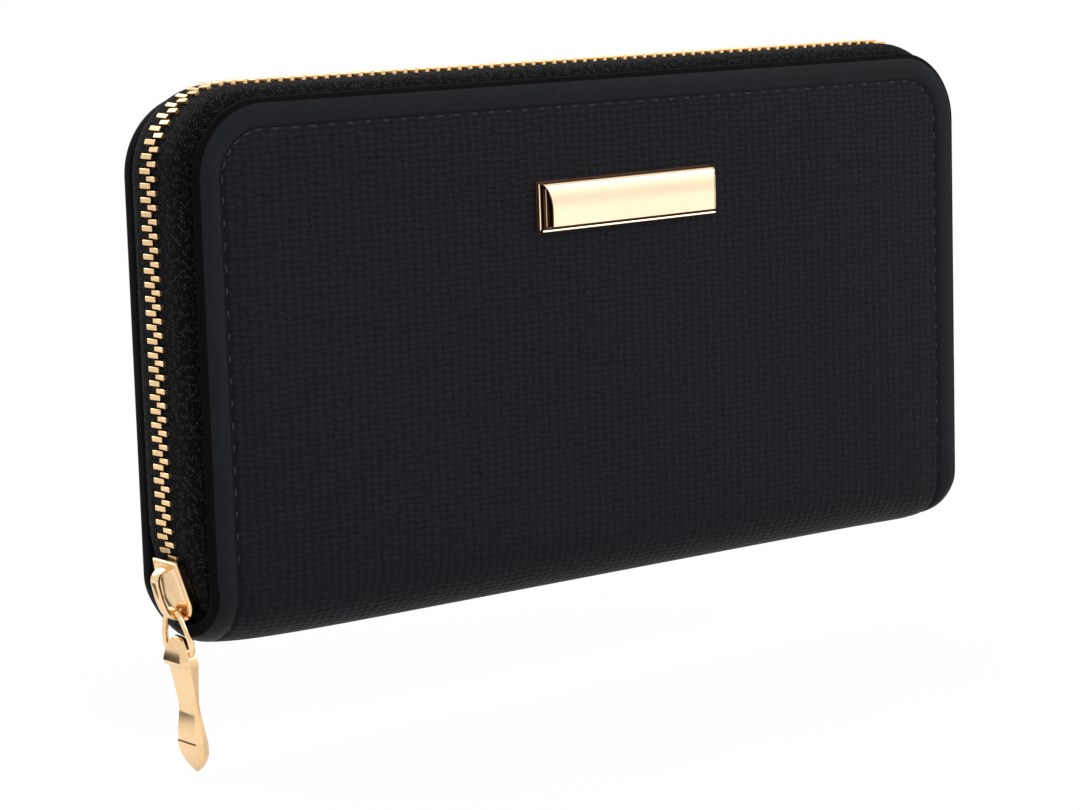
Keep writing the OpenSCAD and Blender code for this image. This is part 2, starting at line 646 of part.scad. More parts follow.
// ---- plaque --------------------------------------------------------------------

plaque_r = (plaque_h * plaque_h / 4 + plaque_rise * plaque_rise) / (2 * plaque_rise);

// Crowned hollow plate with a flat lip below it, and two prongs through the cover.
module plaque() color("#f0d9bb")
    translate([plaque_x - plaque_w / 2, -half_t, plaque_z]) {
        rotate([90, 0, 90]) linear_extrude(plaque_w) {
            intersection() {
                difference() {
                    translate([plaque_r - plaque_rise, 0]) circle(plaque_r);
                    translate([plaque_r - plaque_rise, 0]) circle(plaque_r - plaque_t);
                }
                translate([-plaque_rise, -plaque_h / 2]) square([plaque_rise, plaque_h]);
            }
            translate([-0.4, -plaque_h / 2 - 0.5]) square([0.4, 1.6]);
            translate([-0.4, plaque_h / 2 - 1.1]) square([0.4, 1.1]);
        }
        for (x = [plaque_w / 4, plaque_w * 3 / 4])
            translate([x - prong_w / 2, -plaque_rise + plaque_t / 2, -prong_t / 2])
                cube([prong_w, plaque_rise - plaque_t / 2 + hide_t + board_t - prong_t, prong_t]);
    }

module back_plate_shape(room)
    translate([plaque_x - plaque_w / 3 - room, -inner_face - lining_t - prong_t, plaque_z - plaque_h / 3 - room])
        cube([plaque_w * 2 / 3 + 2 * room, prong_t + room, plaque_h * 2 / 3 + 2 * room]);
module plaque_back_plate() color("#b9b4a8") back_plate_shape(0);

// ---- nodes ---------------------------------------------------------------------

front_cover();
front_board();
front_lining();
front_binding();
front_card_panel();
front_card_slot(1);  // front_card_slot_1
front_card_slot(2);  // front_card_slot_2
front_card_slot(3);  // front_card_slot_3
front_card_slot(4);  // front_card_slot_4
front_zip_tape();
front_zip_teeth();
back_cover();
back_board();
back_lining();
back_binding();
back_card_panel();
back_card_slot(1);  // back_card_slot_1
back_card_slot(2);  // back_card_slot_2
back_card_slot(3);  // back_card_slot_3
back_card_slot(4);  // back_card_slot_4
back_zip_tape();
back_zip_teeth();
spine_wrap();
spine_lining();
tape_tails();
closing_stops();
end_stop();
coin_wall_front();
coin_wall_back();
coin_seam();
coin_tape_front();
coin_tape_back();
coin_teeth_front();
coin_teeth_back();
coin_end_stop();
gusset_front_left();
gusset_front_right();
gusset_back_left();
gusset_back_right();
slider_body();
slider_bridge();
pull_link();
pull_tab();
coin_slider_body();
coin_slider_bridge();
coin_pull();
plaque();
plaque_back_plate();
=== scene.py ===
"""Zip-around wallet on its spine: skins, cloth, stitches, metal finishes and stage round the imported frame.

Lengths are in millimetres until a mesh or a lamp is made, and angles in radians. X is the width, the front
cover faces -Y, Z is up, and the origin is the middle of the pressed flat under the spine.
"""

import logging
import math
from dataclasses import dataclass, field
from enum import Enum

import bmesh
import bpy
import numpy as np
from mathutils import Matrix, Vector

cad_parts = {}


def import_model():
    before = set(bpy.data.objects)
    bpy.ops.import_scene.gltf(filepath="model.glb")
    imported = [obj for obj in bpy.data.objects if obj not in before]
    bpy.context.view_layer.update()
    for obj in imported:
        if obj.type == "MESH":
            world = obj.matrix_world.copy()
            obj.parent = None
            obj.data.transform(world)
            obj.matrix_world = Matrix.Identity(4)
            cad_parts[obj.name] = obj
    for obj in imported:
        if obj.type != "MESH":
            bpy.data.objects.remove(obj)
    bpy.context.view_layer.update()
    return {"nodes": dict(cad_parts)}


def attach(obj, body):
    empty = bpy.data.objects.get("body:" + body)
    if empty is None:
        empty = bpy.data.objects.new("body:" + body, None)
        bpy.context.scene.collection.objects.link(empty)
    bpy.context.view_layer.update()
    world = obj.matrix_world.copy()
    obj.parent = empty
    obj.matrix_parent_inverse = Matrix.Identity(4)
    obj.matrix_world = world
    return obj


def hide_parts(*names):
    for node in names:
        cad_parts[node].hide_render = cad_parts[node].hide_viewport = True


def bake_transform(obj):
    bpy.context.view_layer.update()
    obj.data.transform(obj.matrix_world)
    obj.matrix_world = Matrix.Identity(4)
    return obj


LOG = logging.getLogger("wallet")
MM = 0.001
MERGED = 2e-6  # metres within which two points become one

Flat = tuple[float, float]
Place = tuple[float, float, float]
Tone = tuple[int, int, int]
Row = tuple[np.ndarray, np.ndarray, np.ndarray]
Value = bpy.types.NodeSocket | float | tuple[float, ...]


class Half(Enum):
    """The two halves of the wallet, with the side of the Y axis each one is on."""

    FRONT = -1
    BACK = 1

    @property
    def prefix(self) -> str:
        """Start of the names of this half's pieces."""
        return self.name.lower()

    @property
    def body(self) -> str:
        """Body that this half's pieces ride on."""
        return f"{self.prefix}_half"

    @property
    def shift(self) -> float:
        """How far along this half's teeth stand, in pitches."""
        return 0.0 if self is Half.FRONT else 0.5


class Grain(Enum):
    """Ways a leather surface can be embossed."""

    WOVEN = "woven"
    PEBBLE = "pebble"


# ---- shapes worked out as arrays ------------------------------------------------------------


def in_scene(name: str, data: bpy.types.ID) -> bpy.types.Object:
    """New object on the data, linked to the scene and at the origin.

    Args:
        name: its name.
        data: its mesh, lamp or camera.

    Returns:
        The object.
    """
    made = bpy.data.objects.new(name, data)
    bpy.context.scene.collection.objects.link(made)
    return made


def spots(x: np.ndarray | float, y: np.ndarray | float, z: np.ndarray | float) -> np.ndarray:
    """Points from their three coordinates, each an array or one number for all."""
    return np.stack(np.broadcast_arrays(x, y, z), axis=-1)


@dataclass
class Skin:
    """A closed surface being made.

    Attributes:
        points: n x 3 array of places, in millimetres.
        faces: arrays of point numbers, one row per face.
        places: the flat place of every face corner, one n x corners x 2 array per faces array.
        kinds: the material number of every face, one array per faces array.
    """

    points: np.ndarray
    faces: list[np.ndarray]
    places: list[np.ndarray]
    kinds: list[np.ndarray] = field(default_factory=list)

    def __post_init__(self) -> None:
        """Gives every face the first material where none is said."""
        if not self.kinds:
            self.kinds = [np.zeros(len(f), int) for f in self.faces]

    def build(self, name: str, *materials: bpy.types.Material, crease: float = 50.0) -> bpy.types.Object:
        """Makes the object: its points in metres, doubles merged, faces turned outward.

        Args:
            name: the piece's name.
            materials: one material per material number.
            crease: angle in degrees from which an edge is shaded sharp.

        Returns:
            The new object, linked to the scene and at the origin.
        """
        mesh = bpy.data.meshes.new(name)
        faces = [row for block in self.faces for row in block.tolist()]
        mesh.from_pydata((self.points * MM).tolist(), [], faces)
        flat = np.concatenate([p.reshape(-1, 2) for p in self.places]) * MM
        mesh.uv_layers.new(name="UVMap").data.foreach_set("uv", flat.astype(np.float32).ravel())
        mesh.polygons.foreach_set("material_index", np.concatenate(self.kinds).astype(np.int32))
        mesh.polygons.foreach_set("use_smooth", np.ones(len(faces), bool))
        for material in materials:
            mesh.materials.append(material)
        work = bmesh.new()
        work.from_mesh(mesh)
        bmesh.ops.remove_doubles(work, verts=work.verts, dist=MERGED)
        bmesh.ops.recalc_face_normals(work, faces=work.faces)
        work.to_mesh(mesh)
        work.free()
        mesh.set_sharp_from_angle(angle=math.radians(crease))
        return in_scene(name, mesh)


def quads(rows: int, cols: int, wrap: bool = False) -> np.ndarray:
    """Faces of a grid: each joins a point to the next in its row and the two below.

    Args:
        rows: points down the grid.
        cols: points across the grid.
        wrap: whether the last column joins the first.

    Returns:
        An n x 4 array of point numbers.
    """
    i, j = np.meshgrid(np.arange(rows - 1), np.arange(cols if wrap else cols - 1), indexing="ij")
    i, j, k = i.ravel(), j.ravel(), (j.ravel() + 1) % cols
    return np.stack([i * cols + j, i * cols + k, (i + 1) * cols + k, (i + 1) * cols + j], axis=1)


def rim_of(rows: int, cols: int) -> np.ndarray:
    """Point numbers once round the border of a grid."""
    n = np.arange(rows * cols).reshape(rows, cols)
    return np.concatenate([n[0, :-1], n[:-1, -1], n[-1, :0:-1], n[:0:-1, 0]])


def tube(points: np.ndarray, along: np.ndarray, around: np.ndarray) -> Skin:
    """Closed profile carried along a path, with flat ends.

    Args:
        points: rows x columns x 3 array; a row is the profile at one place of the path.
        along: flat place of each row, in millimetres.
        around: flat place round the profile, one more than its points.

    Returns:
        The closed skin.
    """
    rows, cols = points.shape[:2]
    body = quads(rows, cols, wrap=True)
    open_ends = quads(rows, cols + 1)
    u, v = np.meshgrid(along, around, indexing="ij")
    place = np.stack([u.ravel(), v.ravel()], axis=1)[open_ends]
    ends = [np.arange(cols)[None], (rows - 1) * cols + np.arange(cols)[None]]
    end_places = [points[r][None][..., [1, 2]] for r in (0, -1)]
    return Skin(points.reshape(-1, 3), [body, *ends], [place, *end_places])


def rings(outline: np.ndarray, steps: list[Flat]) -> Skin:
    """Closed plate: an outline at several shares of its size and heights, closed by a point at each end.

    Args:
        outline: k x 2 array round the plate.
        steps: share and height of each ring, from one face's middle over the edge to the other's.

    Returns:
        The closed skin; its third coordinate is the height.
    """
    share, high = np.array(steps, float).T
    k, n = len(outline), len(steps)
    points = np.empty((n, k, 3))
    points[..., :2] = share[:, None, None] * outline
    points[..., 2] = high[:, None]
    poles = np.array([[0, 0, high[0]], [0, 0, high[-1]]])
    ring = np.arange(k)
    fans = [np.stack([np.roll(ring, -1), ring, np.full(k, n * k)], 1),
            np.stack([ring + (n - 1) * k, np.roll(ring, -1) + (n - 1) * k, np.full(k, n * k + 1)], 1)]
    flat = np.concatenate([points.reshape(-1, 3), poles])
    faces = [quads(n, k, wrap=True), *fans]
    return Skin(flat, faces, [flat[f][..., :2] for f in faces])


def joined(*skins: Skin) -> Skin:
    """Several skins as one.

    Args:
        skins: the skins, each with its own point numbers.

    Returns:
        One skin with all their points, faces, flat places and materials.
    """
    starts = np.cumsum([0] + [len(s.points) for s in skins[:-1]])
    faces = [f + start for s, start in zip(skins, starts) for f in s.faces]
    places = [p for s in skins for p in s.places]
    points = np.concatenate([s.points for s in skins])
    return Skin(points, faces, places, [k for s in skins for k in s.kinds])


@dataclass(frozen=True)
class Mount:
    """Place, size and turn that a part drawn on its own is set at.

    Attributes:
        origin: where its origin goes.
        axes: where its three axes point.
        scale: how much larger it is made.
    """

    origin: Place
    axes: tuple[Place, ...]
    scale: float = 1.0

    def set(self, skin: Skin) -> Skin:
        """The skin moved to its place: the origin plus each point's numbers along the axes."""
        points = np.array(self.origin) + self.scale * skin.points @ np.array(self.axes)
        return Skin(points, skin.faces, skin.places, skin.kinds)


def slab(front: np.ndarray, back: np.ndarray, place: np.ndarray) -> Skin:
    """Sheet with a front and a back grid of the same size, closed round its border.

    Args:
        front: rows x columns x 3 array of the face that shows.
        back: the same for the other face.
        place: rows x columns x 2 array of flat places.

    Returns:
        The closed skin.
    """
    rows, cols = front.shape[:2]
    face, loop = quads(rows, cols), rim_of(rows, cols)
    flat, count, following = place.reshape(-1, 2), rows * cols, np.roll(loop, -1)
    side = np.stack([loop, following, following + count, loop + count], axis=1)
    side_place = np.stack([flat[loop], flat[following], flat[following], flat[loop]], axis=1)
    faces = [face, face[:, ::-1] + count, side]
    places = [flat[face], flat[face[:, ::-1]], side_place]
    return Skin(np.concatenate([front.reshape(-1, 3), back.reshape(-1, 3)]), faces, places)


def repeated(base: np.ndarray, faces: list[np.ndarray], origin: np.ndarray, axes: np.ndarray) -> Skin:
    """One small shape set at many places: each point is the place plus the shape's point in its axes.

    Args:
        base: k x 3 array, the shape.
        faces: its faces.
        origin: n x 3 array of places.
        axes: n x 3 x 3 array; a row is where that axis of the shape points.

    Returns:
        The skin of all the copies.
    """
    points = origin[:, None] + np.einsum("kc,ncd->nkd", base, axes)
    shift = np.arange(len(origin)) * len(base)
    blocks = [(f[None] + shift[:, None, None]).reshape(-1, f.shape[1]) for f in faces]
    flats = [np.broadcast_to(base[f][..., :2][None], (len(origin), *f.shape, 2)) for f in faces]
    places = [flat.reshape(-1, *flat.shape[2:]) for flat in flats]
    return Skin(points.reshape(-1, 3), blocks, places)


def chamfered_bar(size: Place, cut: float) -> tuple[np.ndarray, list[np.ndarray]]:
    """Bar with every edge and corner cut off: three points near each corner, each pulled in along two axes.

    Args:
        size: full length along each axis.
        cut: how much is cut off.

    Returns:
        The points and the faces.
    """
    signs = np.array([[x, y, z] for x in (-1, 1) for y in (-1, 1) for z in (-1, 1)], float)
    half = np.array(size) / 2
    pulled = [signs * (half - cut * (1 - np.eye(3)[axis])) for axis in range(3)]
    work = bmesh.new()
    for point in np.concatenate(pulled):
        work.verts.new(point)
    bmesh.ops.convex_hull(work, input=work.verts)
    bmesh.ops.dissolve_limit(work, angle_limit=0.01, verts=work.verts, edges=work.edges)
    work.verts.index_update()
    points = np.array([v.co for v in work.verts])
    loops = [[v.index for v in f.verts] for f in work.faces]
    work.free()
    return points, [np.array([r for r in loops if len(r) == n]) for n in sorted({len(r) for r in loops})]


def rounded_line(points: list[Flat], passes: int = 3) -> np.ndarray:
    """Line with its corners cut: every pass puts two points on each stretch, a quarter from its ends.

    Args:
        points: the line's corners.
        passes: how often the corners are cut.

    Returns:
        The line, n x 2.
    """
    line = np.array(points, float)
    for _ in range(passes):
        a, b = line[:-1], line[1:]
        cut = np.stack([0.75 * a + 0.25 * b, 0.25 * a + 0.75 * b], axis=1).reshape(-1, 2)
        line = np.concatenate([line[:1], cut, line[-1:]])
    return line


def lefts(line: np.ndarray) -> np.ndarray:
    """Unit normals to the left of a flat line, from the gradient of its points.

    Args:
        line: n x 2 array.

    Returns:
        n x 2 array.
    """
    way = np.gradient(line, axis=0)
    way /= np.linalg.norm(way, axis=1, keepdims=True)
    return np.stack([-way[:, 1], way[:, 0]], axis=1)


def run_along(line: np.ndarray) -> np.ndarray:
    """Length from the start of a line to every point of it."""
    return np.concatenate([[0], np.cumsum(np.linalg.norm(np.diff(line, axis=0), axis=1))])


def ribbon(centre: np.ndarray, thick: np.ndarray | float) -> tuple[np.ndarray, np.ndarray]:
    """Closed profile of a strip: its middle line moved half its thickness to each side.

    Args:
        centre: k x 2 array, the middle line.
        thick: thickness at every point, or one for all.

    Returns:
        The profile, 2k x 2, and the flat place round it, 2k + 1 long.
    """
    side = lefts(centre) * np.broadcast_to(thick, len(centre))[:, None] / 2
    run = run_along(centre)
    return np.concatenate([centre + side, (centre - side)[::-1]]), np.concatenate([run, run[::-1], run[:1]])


def eased(t: np.ndarray) -> np.ndarray:
    """Smooth step from 0 to 1: three t squared less two t cubed, with t kept between 0 and 1."""
    t = np.clip(t, 0, 1)
    return t * t * (3 - 2 * t)


@dataclass(frozen=True)
class Edge:
    """Half of an edge in the XZ plane, from its middle outward, mirrored for the other half.

    Attributes:
        start: height of its middle.
        runs: length and turn of each run in turn; a positive turn is clockwise.
    """

    start: float
    runs: tuple[Flat, ...]

    @property
    def half(self) -> float:
        """Length from the middle to the end."""
        return sum(length for length, _ in self.runs)

    def at(self, s: np.ndarray) -> tuple[np.ndarray, np.ndarray, np.ndarray]:
        """Places on the edge: a straight run moves along its heading, and a round one follows its circle.

        Args:
            s: distances from the middle, negative to the left.

        Returns:
            Places, directions of growing s, and outward normals, each n x 3.
        """
        far, side = np.abs(s), np.where(s < 0, -1.0, 1.0)
        x, z, heading, begin = 0.0, self.start, 0.0, 0.0
        px, pz, ph = np.zeros_like(far), np.zeros_like(far), np.zeros_like(far)
        for length, turn in self.runs:
            inside = far >= begin
            local = np.clip(far - begin, 0, None)
            rate = turn / length
            if abs(rate) < 1e-9:
                h = np.full_like(far, heading)
                nx, nz = x + math.cos(heading) * local, z - math.sin(heading) * local
                end = (x + math.cos(heading) * length, z - math.sin(heading) * length)
            else:
                h = heading + rate * np.minimum(local, length)
                nx = x + (np.sin(h) - math.sin(heading)) / rate
                nz = z + (np.cos(h) - math.cos(heading)) / rate
                dx, dz = (turned(heading + turn) - turned(heading) for turned in (math.sin, math.cos))
                end = (x + dx / rate, z + dz / rate)
            px, pz, ph = np.where(inside, nx, px), np.where(inside, nz, pz), np.where(inside, h, ph)
            (x, z), heading, begin = end, heading + turn, begin + length
        zero = np.zeros_like(far)
        place = np.stack([side * px, zero, pz], axis=1)
        way = np.stack([np.cos(ph), zero, -side * np.sin(ph)], axis=1)
        out = np.stack([side * np.sin(ph), zero, np.cos(ph)], axis=1)
        return place, way, out

    def stations(self, step: float, fine: float) -> np.ndarray:
        """Distances for a sweep.

        Args:
            step: about how far apart they are on straight runs.
            fine: the same on round runs.

        Returns:
            The distances from end to end, negative to the left.
        """
        marks, begin = [np.array([0.0])], 0.0
        for length, turn in self.runs:
            count = math.ceil(length / (fine if turn else step)) + 1
            marks.append(np.linspace(begin, begin + length, max(2, count))[1:])
            begin += length
        right = np.concatenate(marks)
        return np.concatenate([-right[:0:-1], right])

    def carry(self, profile: np.ndarray, around: np.ndarray, s: np.ndarray) -> Skin:
        """Profile carried along the edge: its first number goes outward and its second along Y.

        Args:
            profile: closed profile, k x 2.
            around: flat place round it, k + 1 long.
            s: distances of the stations.

        Returns:
            The closed skin.
        """
        place, _, out = self.at(s)
        points = place[:, None] + out[:, None] * profile[None, :, :1]
        points[..., 1] = profile[None, :, 1]
        return tube(points, s, around)


# ---- finishes -------------------------------------------------------------------------------


def linear(tone: Tone) -> tuple[float, float, float, float]:
    """Shader colour of a tone.

    Args:
        tone: red, green and blue as screen values from 0 to 255.

    Returns:
        The same as linear values, with full cover.
    """
    parts = [c / 255 for c in tone]
    return (*(c / 12.92 if c <= 0.04045 else ((c + 0.055) / 1.055) ** 2.4 for c in parts), 1.0)


class Bench:
    """A node tree being wired."""

    def __init__(self, tree: bpy.types.NodeTree) -> None:
        """Starts on an empty tree."""
        self.tree = tree
        tree.nodes.clear()

    def feed(self, node: bpy.types.Node, inputs: dict[str | int, Value]) -> None:
        """Sets inputs of a node.

        Args:
            node: the node.
            inputs: for each input's name or number, its value or the socket it is joined to.
        """
        for key, value in inputs.items():
            if isinstance(value, bpy.types.NodeSocket):
                self.tree.links.new(value, node.inputs[key])
            else:
                node.inputs[key].default_value = value

    def node(
        self, kind: str, inputs: dict[str | int, Value] | None = None, **settings: object
    ) -> bpy.types.Node:
        """Adds a node.

        Args:
            kind: the node's type, without its ShaderNode start.
            inputs: values or sockets for its inputs, by name or number.
            settings: its own settings.

        Returns:
            The node.
        """
        made = self.tree.nodes.new(kind if kind.startswith("NodeGroup") else f"ShaderNode{kind}")
        for name, value in settings.items():
            setattr(made, name, value)
        self.feed(made, inputs or {})
        return made

    def math(self, operation: str, *values: Value) -> bpy.types.NodeSocket:
        """Result of a Math node on the values or sockets."""
        return self.node("Math", dict(enumerate(values)), operation=operation).outputs[0]

    def mix(self, share: Value, one: Value, two: Value) -> bpy.types.NodeSocket:
        """Number between one and two by share."""
        return self.node("Mix", {0: share, 2: one, 3: two}, data_type="FLOAT").outputs[0]

    def tint(self, share: Value, one: Value, two: Value) -> bpy.types.NodeSocket:
        """Colour between one and two by share."""
        return self.node("Mix", {0: share, 6: one, 7: two}, data_type="RGBA").outputs[2]

    def noise(self, place: bpy.types.NodeSocket, scale: float, detail: float = 2.0) -> bpy.types.NodeSocket:
        """Strength of a noise at place, with scale given per metre."""
        return self.node("TexNoise", {"Vector": place, "Scale": scale, "Detail": detail}).outputs["Fac"]


def effect(
    name: str, inputs: dict[str, float | None], outputs: tuple[str, ...]
) -> tuple[Bench, bpy.types.NodeOutputs, bpy.types.Node]:
    """Starts a shader node group that several finishes share.

    Args:
        name: the group's name.
        inputs: first value of each number it is given, or None for a place.
        outputs: names of the numbers it gives.

    Returns:
        The bench, the sockets of the group's inputs and its output node.
    """
    group = bpy.data.node_groups.new(name, "ShaderNodeTree")
    bench = Bench(group)
    for label, value in inputs.items():
        kind = "NodeSocketVector" if value is None else "NodeSocketFloat"
        socket = group.interface.new_socket(name=label, in_out="INPUT", socket_type=kind)
        if value is not None:
            socket.default_value = value
    for label in outputs:
        group.interface.new_socket(name=label, in_out="OUTPUT", socket_type="NodeSocketFloat")
    return bench, bench.node("NodeGroupInput").outputs, bench.node("NodeGroupOutput")


class Effects:
    """Node groups that the finishes share."""

    def __init__(self) -> None:
        """Builds every group once."""
        self.woven = self.make_woven()
        self.pebble = self.make_pebble()
        self.cloth = self.make_cloth()
        self.wear = self.make_wear()

    def make_woven(self) -> bpy.types.NodeTree:
        """Plain weave pressed into leather: soft upright and level strands that pass over each other by
        turns and wander, each crossing pressed in by a chance of its own.

        Returns:
            The group.
        """
        b, given, made = effect(
            "woven emboss", {"Place": None, "Width": 0.002, "Height": 0.0013}, ("Relief", "Tone"))
        place = given["Place"]
        wander = b.node("TexNoise", {"Vector": place, "Scale": 300.0, "Detail": 3.0, "Roughness": 0.65})
        drift = b.node("VectorMath", {0: wander.outputs["Color"], 1: (-0.5, -0.5, -0.5)}, operation="ADD")
        drift = b.node("VectorMath", {0: drift.outputs[0], "Scale": 0.0024}, operation="SCALE")
        moved = b.node("VectorMath", {0: place, 1: drift.outputs[0]}, operation="ADD")
        parts = b.node("SeparateXYZ", {0: moved.outputs[0]})
        u = b.math("DIVIDE", parts.outputs[0], given["Width"])
        v = b.math("DIVIDE", parts.outputs[1], given["Height"])
        row, column = b.math("FLOOR", v), b.math("FLOOR", u)
        upright = self.strand(b, (u, v, column), 0.0, 0.48, 0.5)
        level = self.strand(b, (v, u, row), math.pi, 0.36, 0.6)
        over = b.math("SMOOTH_MAX", upright, level, 0.1)
        seat = b.node("CombineXYZ", {0: column, 1: row}).outputs[0]
        chance = b.node("TexWhiteNoise", {"Vector": seat}, noise_dimensions="2D").outputs["Value"]
        relief = b.math("MULTIPLY", over, b.math("MULTIPLY_ADD", chance, 0.55, 0.6))
        relief = b.math("MULTIPLY_ADD", b.noise(place, 1500.0, 3.0), 0.6, relief)
        # Tone, the strands' height squared, darkens the low places between the strands: painted shade in the
        # creases.
        b.feed(made, {"Relief": relief, "Tone": b.math("MULTIPLY", over, over)})
        return b.tree

    def strand(
        self, b: Bench, at: tuple[bpy.types.NodeSocket, ...], start: float, swell: float, mean: float
    ) -> bpy.types.NodeSocket:
        """Height of one set of strands: round across, and over and under the others along it.

        Args:
            b: the bench of the weave.
            at: place across the strands, place along them and the strand's number, in strands.
            start: turn of the first crossing, in radians.
            swell: how far a strand rises and sinks.
            mean: its mean height.

        Returns:
            The height.
        """
        across, along, number = at
        bump = b.math("POWER", b.math("SINE", b.math("MULTIPLY", b.math("FRACT", across), math.pi)), 0.5)
        swing = b.math("SINE", b.math("MULTIPLY_ADD", b.math("ADD", along, number), math.pi, start))
        return b.math("MULTIPLY", bump, b.math("MULTIPLY_ADD", swing, swell, mean))

    def make_pebble(self) -> bpy.types.NodeTree:
        """Fine pebbled grain: rounded cells with creases between them, over a slow unevenness.

        Returns:
            The group.
        """
        b, given, made = effect("pebble grain", {"Place": None, "Scale": 1500.0}, ("Relief", "Tone"))
        place = given["Place"]
        cells = b.node("TexVoronoi", {"Vector": place, "Scale": given["Scale"]}, feature="SMOOTH_F1")
        slow = b.noise(place, 180.0, 3.0)
        relief = b.math("SUBTRACT", b.math("MULTIPLY", slow, 0.6), cells.outputs["Distance"])
        b.feed(made, {"Relief": relief, "Tone": slow})
        return b.tree

    def make_cloth(self) -> bpy.types.NodeTree:
        """Herringbone cloth: slanted threads that change their slant from band to band, crossed by fine
        ribs, with painted highlights on stray fibres where the threads stand high.

        Returns:
            The group.
        """
        b, given, made = effect(
            "herringbone cloth", {"Place": None, "Thread": 0.0007, "Band": 0.0022}, ("Relief", "Tone"))
        place, thread = given["Place"], given["Thread"]
        parts = b.node("SeparateXYZ", {0: place})
        along, over = parts.outputs[0], parts.outputs[1]
        slanted = b.math("ADD", along, b.math("MULTIPLY", b.math("PINGPONG", over, given["Band"]), 1.2))
        fine = b.math("MULTIPLY", thread, 0.7)
        threads = (b.math("DIVIDE", slanted, thread), b.math("DIVIDE", over, fine))
        warp, weft = (b.math("ABSOLUTE", b.math("SINE", b.math("MULTIPLY", n, math.pi))) for n in threads)
        stray = b.noise(place, 1000.0)
        high = b.math("MULTIPLY", warp, b.math("MULTIPLY_ADD", weft, 0.55, 0.45))
        # Painted highlight: stray fibres on the high threads get the glint tone.
        glint = b.math("MULTIPLY", b.math("POWER", high, 2.5), b.math("GREATER_THAN", stray, 0.53))
        b.feed(made, {"Relief": b.math("MULTIPLY_ADD", stray, 0.5, high), "Tone": glint})
        return b.tree

    def make_wear(self) -> bpy.types.NodeTree:
        """Handled metal: faint smears and hairlines that change how rough and how dark it is.

        Returns:
            The group.
        """
        b, given, made = effect(
            "handled metal", {"Place": None, "Rough": 0.15, "Spread": 0.1}, ("Roughness", "Tone", "Relief"))
        smear = b.noise(given["Place"], 220.0, 4.0)
        stretch = b.node("Mapping", {"Vector": given["Place"], "Scale": (1.0, 1.0, 0.06)}).outputs[0]
        b.feed(made, {
            "Roughness": b.math("MULTIPLY_ADD", smear, given["Spread"], given["Rough"]),
            "Tone": b.math("MULTIPLY", smear, smear),
            "Relief": b.noise(stretch, 6000.0),
        })
        return b.tree


def new_material(name: str) -> tuple[bpy.types.Material, Bench, bpy.types.Node]:
    """Starts a material.

    Args:
        name: the material's name.

    Returns:
        The material, its bench and its shader, already joined to the output.
    """
    material = bpy.data.materials.new(name)
    material.use_nodes = True
    bench = Bench(material.node_tree)
    shader = bench.node("BsdfPrincipled")
    bench.node("OutputMaterial", {"Surface": shader.outputs[0]})
    return material, bench, shader


def pressed(b: Bench, relief: bpy.types.NodeSocket, depth: float) -> bpy.types.NodeSocket:
    """Normal of a surface with that relief, depth millimetres deep."""
    return b.node("Bump", {"Height": relief, "Distance": depth * MM, "Strength": 1.0}).outputs[0]


@dataclass(frozen=True)
class Leather:
    """Coated leather, woven or pebbled.

    Attributes:
        name: the material's name.
        tone: its tone on the raised parts.
        low: its tone in the creases; on the woven grain this is painted shade, on the pebbled one the low
            side of its slow unevenness.
        grain: how it is embossed.
        rough: roughness.
        gloss: specular level.
        depth: depth of the emboss in millimetres.
        scale: cells of the pebbled grain in a metre.
    """

    name: str
    tone: Tone
    low: Tone
    grain: Grain = Grain.PEBBLE
    rough: float = 0.5
    gloss: float = 0.2
    depth: float = 0.12
    scale: float = 1500.0

    def make(self, effects: Effects) -> bpy.types.Material:
        """Wires the material.

        Args:
            effects: the shared groups.

        Returns:
            The material: grain with a finer one over it, rougher in its creases; on the woven grain painted
                shade darkens them too.
        """
        material, b, shader = new_material(self.name)
        flat = b.node("TexCoord").outputs["UV"]
        if self.grain is Grain.WOVEN:
            press = b.node("Group", {"Place": flat}, node_tree=effects.woven)
        else:
            press = b.node("Group", {"Place": flat, "Scale": self.scale}, node_tree=effects.pebble)
        relief = b.math("MULTIPLY_ADD", b.noise(flat, 2600.0), 0.12, press.outputs["Relief"])
        b.feed(shader, {
            "Base Color": b.tint(press.outputs["Tone"], linear(self.low), linear(self.tone)),
            "Roughness": b.math("MULTIPLY_ADD", press.outputs["Tone"], -0.12, self.rough + 0.06),
            "Normal": pressed(b, relief, self.depth),
            "Specular IOR Level": self.gloss,
        })
        return material


@dataclass(frozen=True)
class Cloth:
    """Woven cloth of tape, lining or thread.

    Attributes:
        name: the material's name.
        tone: its tone.
        glint: tone of the painted highlights on its fibres.
        thread: distance between two threads, in millimetres.
        band: width of a herringbone band, in millimetres.
        gloss: specular level.
        depth: depth of the weave, in millimetres.
    """

    name: str
    tone: Tone
    glint: Tone
    thread: float = 0.7
    band: float = 2.2
    gloss: float = 0.15
    depth: float = 0.15

    def make(self, effects: Effects) -> bpy.types.Material:
        """Wires the material.

        Args:
            effects: the shared groups.

        Returns:
            The material: herringbone with painted highlights on its fibres.
        """
        material, b, shader = new_material(self.name)
        place = b.node("TexCoord").outputs["UV"]
        given = {"Place": place, "Thread": self.thread * MM, "Band": self.band * MM}
        weave = b.node("Group", given, node_tree=effects.cloth)
        b.feed(shader, {
            "Base Color": b.tint(weave.outputs["Tone"], linear(self.tone), linear(self.glint)),
            "Normal": pressed(b, weave.outputs["Relief"], self.depth),
            "Roughness": 0.75,
            "Specular IOR Level": self.gloss,
        })
        return material


